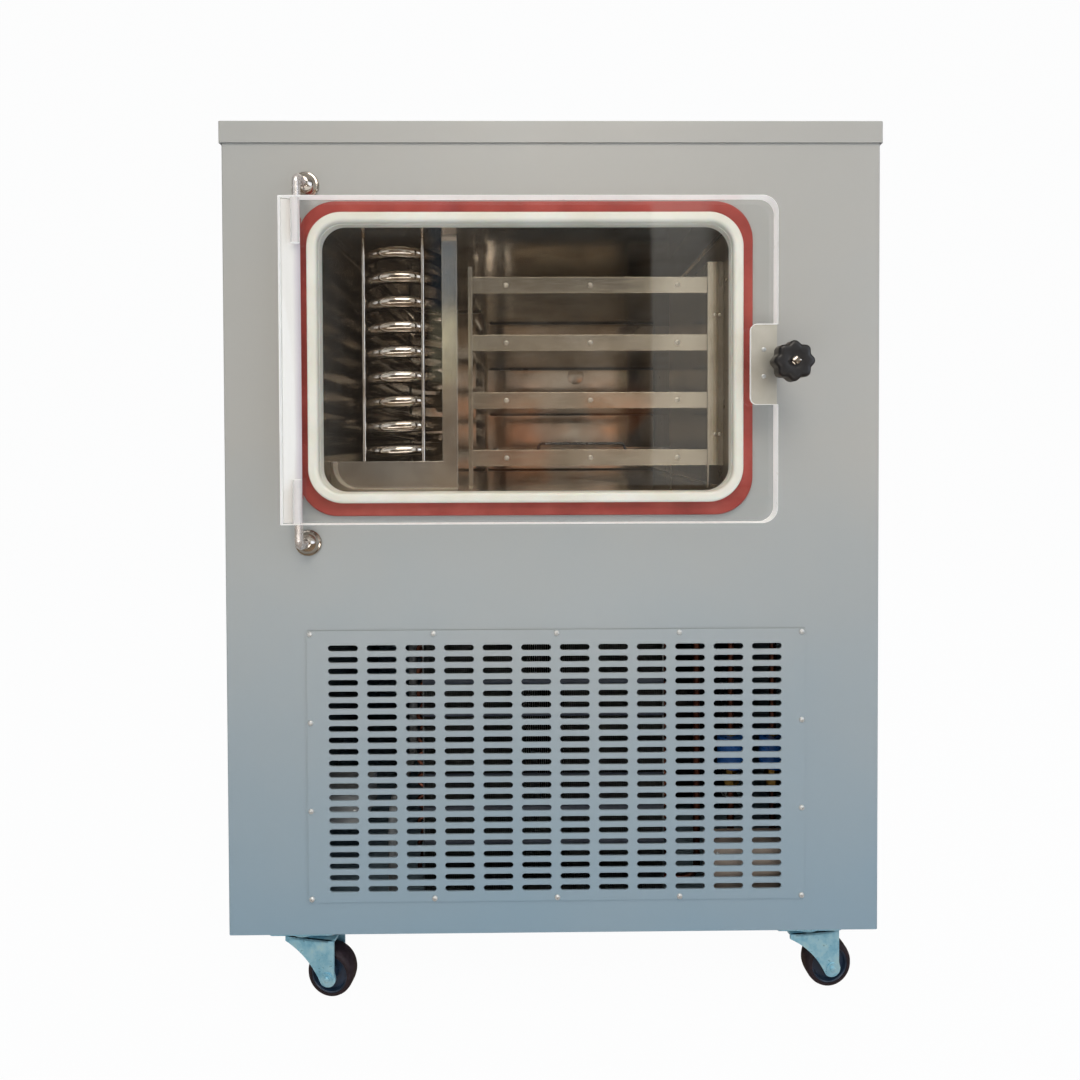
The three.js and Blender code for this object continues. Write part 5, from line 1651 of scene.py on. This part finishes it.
class DRYER_OT_refrigerant(Operator):
    """Makes the compressor, the solenoid risers and the discharge pipe"""

    bl_idname = "dryer.refrigerant"
    bl_label = "Refrigerant circuit"

    def execute(self, context):
        self.compressor()
        for node in ("solenoid_line_left", "solenoid_line_right"):
            self.riser(node)
        self.discharge()
        return {"FINISHED"}

    def compressor(self):
        low, high, middle = corner_box("compressor")
        seat = Vector((middle.x, middle.y, low.z))
        height = high.z - low.z
        base = height - 235 * MM  # top of the rubber feet
        belly, foot, bolt = 95 * MM, 100 * MM, 80 * MM
        profile = [
            (0, base + 4 * MM), (62 * MM, base + 4 * MM), (80 * MM, base + 14 * MM), (92 * MM, base + 30 * MM),
            (belly, base + 44 * MM), (belly, height - 62 * MM), (92 * MM, height - 44 * MM),
            (82 * MM, height - 22 * MM), (62 * MM, height - 6 * MM), (36 * MM, height), (0, height),
        ]
        bm = bmesh.new()
        lathe(bm, profile, seat, UP, 56)
        block(bm, seat + Vector((-foot, -foot, base - MM)), seat + Vector((foot, foot, base + 3 * MM)))
        piece("compressor_pot", bm, [black_enamel], stands_for=["compressor"], angle=40)
        top = base - 2 * MM
        grommet = [(0, 0), (13 * MM, 0), (13 * MM, 3 * MM), (11 * MM, 5 * MM), (11 * MM, top), (0, top)]
        corners = [seat + Vector((u, v, 0)) for u in (-bolt, bolt) for v in (-bolt, bolt)]
        bm = bmesh.new()
        for corner in corners:
            lathe(bm, grommet, corner, UP, 20)
        piece("compressor_grommets", bm, [tyre_rubber], slot="tyre", angle=40)
        bolts = [corner + UP * (base + 3.2 * MM) for corner in corners]
        set_screws("compressor_bolts", bolts, UP, hex_head(7 * MM, 6 * MM))

    def riser(self, node):
        """A copper riser with a brass valve, its blue coil and the nut that holds it."""
        low, high, middle = corner_box(node)
        at, r = Vector((middle.x, middle.y, 0)), 5 * MM
        coil_low, coil_high = 281 * MM, 326 * MM
        body = bmesh.new()
        for bottom, top in ((low.z, 246 * MM), (coil_high + 9.3 * MM, high.z)):
            lathe(body, [(0, bottom), (r, bottom), (r, top), (0, top)], at, UP, 20)
        piece(f"{node}_pipe", body, [drawn_copper], slot="copper", stands_for=[node], angle=40)
        block_of_brass = [
            (0, 246.2), (7, 246.2), (9, 248), (9, 254), (12, 256), (12, 268), (8, 270), (8, 280.6), (0, 280.6),
        ]
        nut = [(0, 326.3), (8, 326.3), (8, 333.6), (6.4, 335), (0, 335)]
        valve = bmesh.new()
        for profile in (block_of_brass, nut):
            lathe(valve, [(a * MM, b * MM) for a, b in profile], at, UP, 6)
        piece(f"{node}_valve", valve, [cast_brass], slot="copper", angle=30)
        coil = bmesh.new()
        profile = [
            (0, coil_low + 0.2 * MM), (17 * MM, coil_low + 0.2 * MM), (19 * MM, coil_low + 2.4 * MM),
            (19 * MM, coil_high - 2.4 * MM), (17 * MM, coil_high), (0, coil_high),
        ]
        lathe(coil, profile, at, UP, 40)
        piece(f"{node}_coil", coil, [blue_resin], slot="blue_plastic", angle=40)

    def discharge(self):
        low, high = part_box("discharge_pipe")
        r, bend = 5 * MM, 22 * MM
        x, y, z, rear, top = high.x - r, low.y + r, low.z + r, high.y - r, high.z - r
        compressor_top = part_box("compressor")[1].z + GAP
        corners = [(low.x, y, z), (x, y, z), (x, y, top), (x, rear, top), (x, rear, compressor_top)]
        bm = bmesh.new()
        tube(bm, bent_path(corners, bend, 12), r, 20)
        piece("discharge_pipe_bent", bm, [drawn_copper], stands_for=["discharge_pipe"], angle=50)


class DRYER_OT_services(Operator):
    """Makes the drain, the terminal box and the relay box"""

    bl_idname = "dryer.services"
    bl_label = "Services"

    def execute(self, context):
        self.drain()
        self.terminal_box()
        self.relay_box()
        return {"FINISHED"}

    def drain(self):
        low, high, middle = corner_box("drain_pipe")
        r, bend, rise = 7 * MM, 25 * MM, 236 * MM
        x, front, back = middle.x, FRONT + 60 * MM, FRONT + 200 * MM
        bm = bmesh.new()
        corners = [(x, front, low.z + MM), (x, front, rise), (x, back, rise), (x, back, high.z)]
        tube(bm, bent_path(corners, bend, 12), r, 20)
        piece("drain_hose", bm, [grey_abs], stands_for=["drain_pipe"], angle=50)
        bm = bmesh.new()
        collar = [(7.2, 5.2), (14, 5.2), (14, 2.2), (12.6, 0.8), (9.6, 0.8), (9.6, 0.0), (7.2, 0.0)]
        lathe(bm, [(a * MM, b * MM) for a, b in collar], Vector((x, front, low.z)), UP, 32)
        piece("drain_spigot", bm, [grey_abs], slot="grey_plastic", angle=40)

    def terminal_box(self):
        """A lid stands off the box by a shadow line, with a screw in each corner."""
        low, high, middle = corner_box("terminal_box")
        bm = bmesh.new()
        block(bm, (low.x, low.y + 9 * MM, low.z), high)
        block(bm, (low.x, low.y, low.z), (high.x, low.y + 8.4 * MM, high.z))
        soften(bm, 2.2 * MM, 3, 60)
        piece("terminal_box_lidded", bm, [beige_abs], stands_for=["terminal_box"], flip=False)
        inset = 9 * MM
        across, upright = (low.x + inset, high.x - inset), (low.z + inset, high.z - inset)
        points = [(x, low.y, z) for x in across for z in upright]
        set_screws("terminal_box_screws", points, -REARWARD, screw_head(3 * MM, 1.6 * MM))

    def relay_box(self):
        low, high, middle = corner_box("relay_box")
        bm = bmesh.new()
        block(bm, low, high)
        soften(bm, 2.0 * MM, 3, 60)
        piece("relay_box_moulded", bm, [grey_abs], stands_for=["relay_box"], flip=False)
        points = [(x, low.y, middle.z) for x in (low.x + 12 * MM, high.x - 12 * MM)]
        set_screws("relay_box_screws", points, -REARWARD, screw_head(3 * MM, 1.6 * MM))


# ----------------------------------------------------------------------------------------------------------
# Rear
# ----------------------------------------------------------------------------------------------------------


class DRYER_OT_rear(Operator):
    """Makes the vacuum flange and the power inlet with its pins"""

    bl_idname = "dryer.rear"
    bl_label = "Rear"

    def execute(self, context):
        low, high, middle = corner_box("vacuum_port")
        end = (high.y - low.y) / MM
        turned = [
            (11, 0), (14, 0), (14, end - 9), (14.8, end - 8), (19.3, end - 4.4), (20, end - 3.8),
            (20, end - 0.5), (19.5, end), (15, end), (14.6, end - 0.9), (12.2, end - 0.9), (11.6, end - 0.2), (11, end - 0.6),
        ]
        profile = [(r * MM, along * MM) for r, along in turned]
        bm = bmesh.new()
        lathe(bm, profile, Vector((middle.x, low.y, middle.z)), REARWARD, 48)
        piece("vacuum_port_turned", bm, [polished_steel_rod], stands_for=["vacuum_port"], angle=40)
        self.inlet()
        return {"FINISHED"}

    def inlet(self):
        softened_node("power_inlet", 0.6 * MM, black_nylon, segments=3)
        low, high, middle = corner_box("power_inlet")
        bm = bmesh.new()
        floor = high.y - 3 * MM - 18 * MM
        for dx, dz in ((-7, -2), (0, 3), (7, -2)):
            x, z = middle.x + dx * MM, middle.z + dz * MM
            block(bm, (x - MM, floor, z - 2 * MM), (x + MM, high.y - 6 * MM, z + 2 * MM))
        soften(bm, 0.3 * MM)
        piece("power_inlet_pins", bm, [bright_zinc], slot="zinc_plate", flip=False)
        inset = 5.5 * MM
        points = [(x, high.y, middle.z) for x in (low.x + inset - 2 * MM, high.x - inset + 2 * MM)]
        set_screws("power_inlet_screws", points, REARWARD, screw_head(2.2 * MM, 1.3 * MM))


# ----------------------------------------------------------------------------------------------------------
# Casters
# ----------------------------------------------------------------------------------------------------------


class DRYER_OT_casters(Operator):
    """Makes four swivel casters: plate and race, pressed fork, rubber wheel"""

    bl_idname = "dryer.casters"
    bl_label = "Casters"

    def execute(self, context):
        for corner in ("front_left", "front_right", "rear_left", "rear_right"):
            pin = Vector(JOINTS[f"{corner}_swivel"]["pos_m"]) * Vector((1, 1, 0))
            hub = Vector(JOINTS[f"{corner}_roll"]["pos_m"])
            axle = Vector(JOINTS[f"{corner}_roll"]["axis"]).normalized()
            trail = (hub - pin) * Vector((1, 1, 0))
            self.top(corner, pin)
            self.fork(corner, pin, trail.normalized(), axle, trail.length, hub.z)
            self.wheel(corner, hub, axle, context.scene.dryer_caster)
        return {"FINISHED"}

    def top(self, corner, pin):
        low, high, middle = corner_box(f"{corner}_caster_plate")
        sheet, round_corner, edge = 3 * MM, 7 * MM, 0.6 * MM
        w, d, top = high.x - low.x, high.y - low.y, high.z
        bm = bmesh.new()
        loops = []
        for inset, z in ((0.5, top), (0, top - edge), (0, top - sheet + edge), (0.5, top - sheet)):
            loop = frame_loop((middle.x, middle.y), w - 2 * inset * MM, d - 2 * inset * MM, round_corner, 0, 5)
            loops.append([Vector((p.x, p.z, z)) for p in loop])
        close_ends(bm, skin(bm, loops))
        drum = [
            (0, 96), (25, 96), (25, 93.6), (24, 91.2), (21.6, 89.4), (18, 88.7), (16.4, 88.5), (15, 88.2),
            (15, 84.4), (5, 84.4), (5, 80.6), (9, 80.6), (8.2, 77.8), (7, 77.8), (0, 77.8),
        ]
        lathe(bm, [(r * MM, z * MM) for r, z in drum], pin, UP, 48)
        piece(f"{corner}_caster_top", bm, [blue_zinc], stands_for=[f"{corner}_caster_plate"], angle=40)
        out, along = 38 * MM, 16 * MM
        bolts = [(pin.x + dx, pin.y + dy, top - sheet) for dx in (-out, out) for dy in (-along, along)]
        set_screws(f"{corner}_caster_bolts", bolts, -UP, hex_head(5.4 * MM, 4.6 * MM))

    def fork(self, corner, pin, ahead, across, trail, axle_height):
        """Two legs pressed from one sheet: wide at the crown, drawn in at the heel, round at the foot."""
        half, sheet = 17 * MM, 2.5 * MM
        heel, toe, foot = 25 * MM, 10 * MM, 12 * MM
        low, high = 81 * MM, 84 * MM
        back = [(-heel, high), (-heel, low - 3 * MM)]
        bend, end = (trail / 4, low - 20 * MM), (trail - 0.75 * foot, axle_height - 0.66 * foot)
        for step in range(1, 17):
            t = step / 16
            back.append(tuple(
                (1 - t) ** 2 * a + 2 * t * (1 - t) * b + t * t * c for a, b, c in zip(back[1], bend, end)
            ))
        arc = [1.23 * math.pi + (2 - 1.23) * math.pi * s / 16 for s in range(17)]
        outline = back + [(trail + foot * math.cos(a), axle_height + foot * math.sin(a)) for a in arc]
        outline += [(trail + toe, axle_height + 8 * MM), (trail + toe, high)]
        bm = bmesh.new()
        for inner, outer in ((half - sheet, half), (-half, -half + sheet)):
            prism(bm, outline, lambda u, v, w: pin + ahead * u + across * w + UP * v, inner, outer)
        crown = frame_loop(((trail + toe - heel) / 2, 0), trail + toe + heel, 2 * half, 8 * MM, 0, 6)
        hole = [Vector((5.8 * MM * math.cos(a), 0, 5.8 * MM * math.sin(a))) for a in turns(len(crown))]
        start = min(range(len(hole)), key=lambda i: (hole[i].normalized() - crown[0].normalized()).length)
        hole = hole[start:] + hole[:start]
        rings = [(crown, high), (crown, low), (hole, low), (hole, high)]
        loops = [[pin + ahead * p.x + across * p.z + UP * z for p in ring] for ring, z in rings]
        skin(bm, loops, closed_along=True)
        soften(bm, 0.5 * MM, 2, 50)
        node = f"{corner}_caster_fork"
        piece(f"{node}_pressed", bm, [blue_zinc], f"{corner}_fork", stands_for=[node], angle=40)
        self.axle(corner, pin + ahead * trail + UP * axle_height, across, half)

    def axle(self, corner, hub, across, half):
        """The axle bolt has its head on one side, and a nut with the bolt's end on the other."""
        bm = bmesh.new()
        bolt = [
            (0, -half - 2.9 * MM), (2.6 * MM, -half - 2.9 * MM), (3.9 * MM, -half - 2.2 * MM),
            (4 * MM, -half - 0.1 * MM), (4 * MM, half + 0.2 * MM), (3.9 * MM, half + 2.4 * MM),
            (3.2 * MM, half + 2.9 * MM), (0, half + 2.9 * MM),
        ]
        nut = [
            (4 * MM, half + 0.1 * MM), (7.2 * MM, half + 0.1 * MM), (7.2 * MM, half + 1.6 * MM),
            (6.4 * MM, half + 2.3 * MM), (4 * MM, half + 2.3 * MM),
        ]
        washer = [
            (4 * MM, -half - 0.1 * MM), (8 * MM, -half - 0.1 * MM), (8 * MM, -half - 1.2 * MM),
            (4 * MM, -half - 1.2 * MM),
        ]
        for profile, sides in ((bolt, 24), (nut, 6), (washer, 28)):
            lathe(bm, profile, hub, across, sides)
        piece(f"{corner}_caster_axle", bm, [blue_zinc], f"{corner}_fork", slot="zinc_plate", angle=32)

    def wheel(self, corner, hub, axle, settings):
        radius, half = settings.wheel / 2, settings.width / 2
        node = f"{corner}_caster_wheel"
        bm = bmesh.new()
        tread = [
            (radius - 7 * MM, -half), (radius - 4.2 * MM, -half), (radius - 2.2 * MM, -half + 0.9 * MM),
            (radius - 0.7 * MM, -half + 3.2 * MM), (radius - 0.1 * MM, -half + 6 * MM), (radius, 0),
        ]
        tread += [(r, -along) for r, along in reversed(tread[:-1])]
        lathe(bm, tread, hub, axle, 72)
        rim, web, boss = radius - 7.2 * MM, 5 * MM, 9 * MM
        centre = [
            (4.6 * MM, -half - MM), (boss - 0.6 * MM, -half - MM), (boss, -half - 0.4 * MM),
            (boss + 2 * MM, -web), (rim - 2.4 * MM, -web), (rim - 1.4 * MM, -half + 1.4 * MM), (rim, -half + 0.6 * MM),
        ]
        centre += [(r, -along) for r, along in reversed(centre)]
        lathe(bm, centre, hub, axle, 60, material=1)
        piece(f"{node}_moulded", bm, [tyre_rubber, hub_plastic], f"{corner}_wheel", stands_for=[node], angle=35)


# ----------------------------------------------------------------------------------------------------------
# Panel and registration
# ----------------------------------------------------------------------------------------------------------

OPERATORS = (
    DRYER_OT_stage, DRYER_OT_cabinet, DRYER_OT_vent_panel, DRYER_OT_chamber, DRYER_OT_door, DRYER_OT_hinges,
    DRYER_OT_clamp, DRYER_OT_trap, DRYER_OT_shelves, DRYER_OT_condenser, DRYER_OT_fan, DRYER_OT_refrigerant,
    DRYER_OT_services, DRYER_OT_rear, DRYER_OT_casters,
)

SETTINGS = {
    "dryer_stage": DryerStageSettings,
    "dryer_cabinet": DryerCabinetSettings,
    "dryer_vent": DryerVentSettings,
    "dryer_door": DryerDoorSettings,
    "dryer_chamber": DryerChamberSettings,
    "dryer_plant": DryerPlantSettings,
    "dryer_caster": DryerCasterSettings,
}


class DRYER_PT_panel(Panel):
    """Lists the pieces of the freeze dryer with their settings"""

    bl_idname = "DRYER_PT_panel"
    bl_label = "Freeze dryer"
    bl_space_type = "VIEW_3D"
    bl_region_type = "UI"
    bl_category = "Freeze dryer"

    def draw(self, context):
        for operator in OPERATORS:
            self.layout.operator(operator.bl_idname)
        for name, group in SETTINGS.items():
            box = self.layout.box()
            for setting in group.__annotations__:
                box.prop(getattr(context.scene, name), setting)


def register():
    for group in SETTINGS.values():
        bpy.utils.register_class(group)
    for name, group in SETTINGS.items():
        setattr(bpy.types.Scene, name, PointerProperty(type=group))
    for operator in OPERATORS:
        bpy.utils.register_class(operator)
    bpy.utils.register_class(DRYER_PT_panel)


def unregister():
    bpy.utils.unregister_class(DRYER_PT_panel)
    for operator in reversed(OPERATORS):
        bpy.utils.unregister_class(operator)
    for name in SETTINGS:
        delattr(bpy.types.Scene, name)
    for group in reversed(SETTINGS.values()):
        bpy.utils.unregister_class(group)


def main():
    register()
    for operator in OPERATORS:
        group, name = operator.bl_idname.split(".")
        if getattr(getattr(bpy.ops, group), name)() != {"FINISHED"}:
            raise RuntimeError(f"{operator.bl_idname} didn't finish")


if __name__ == "__main__":
    main()
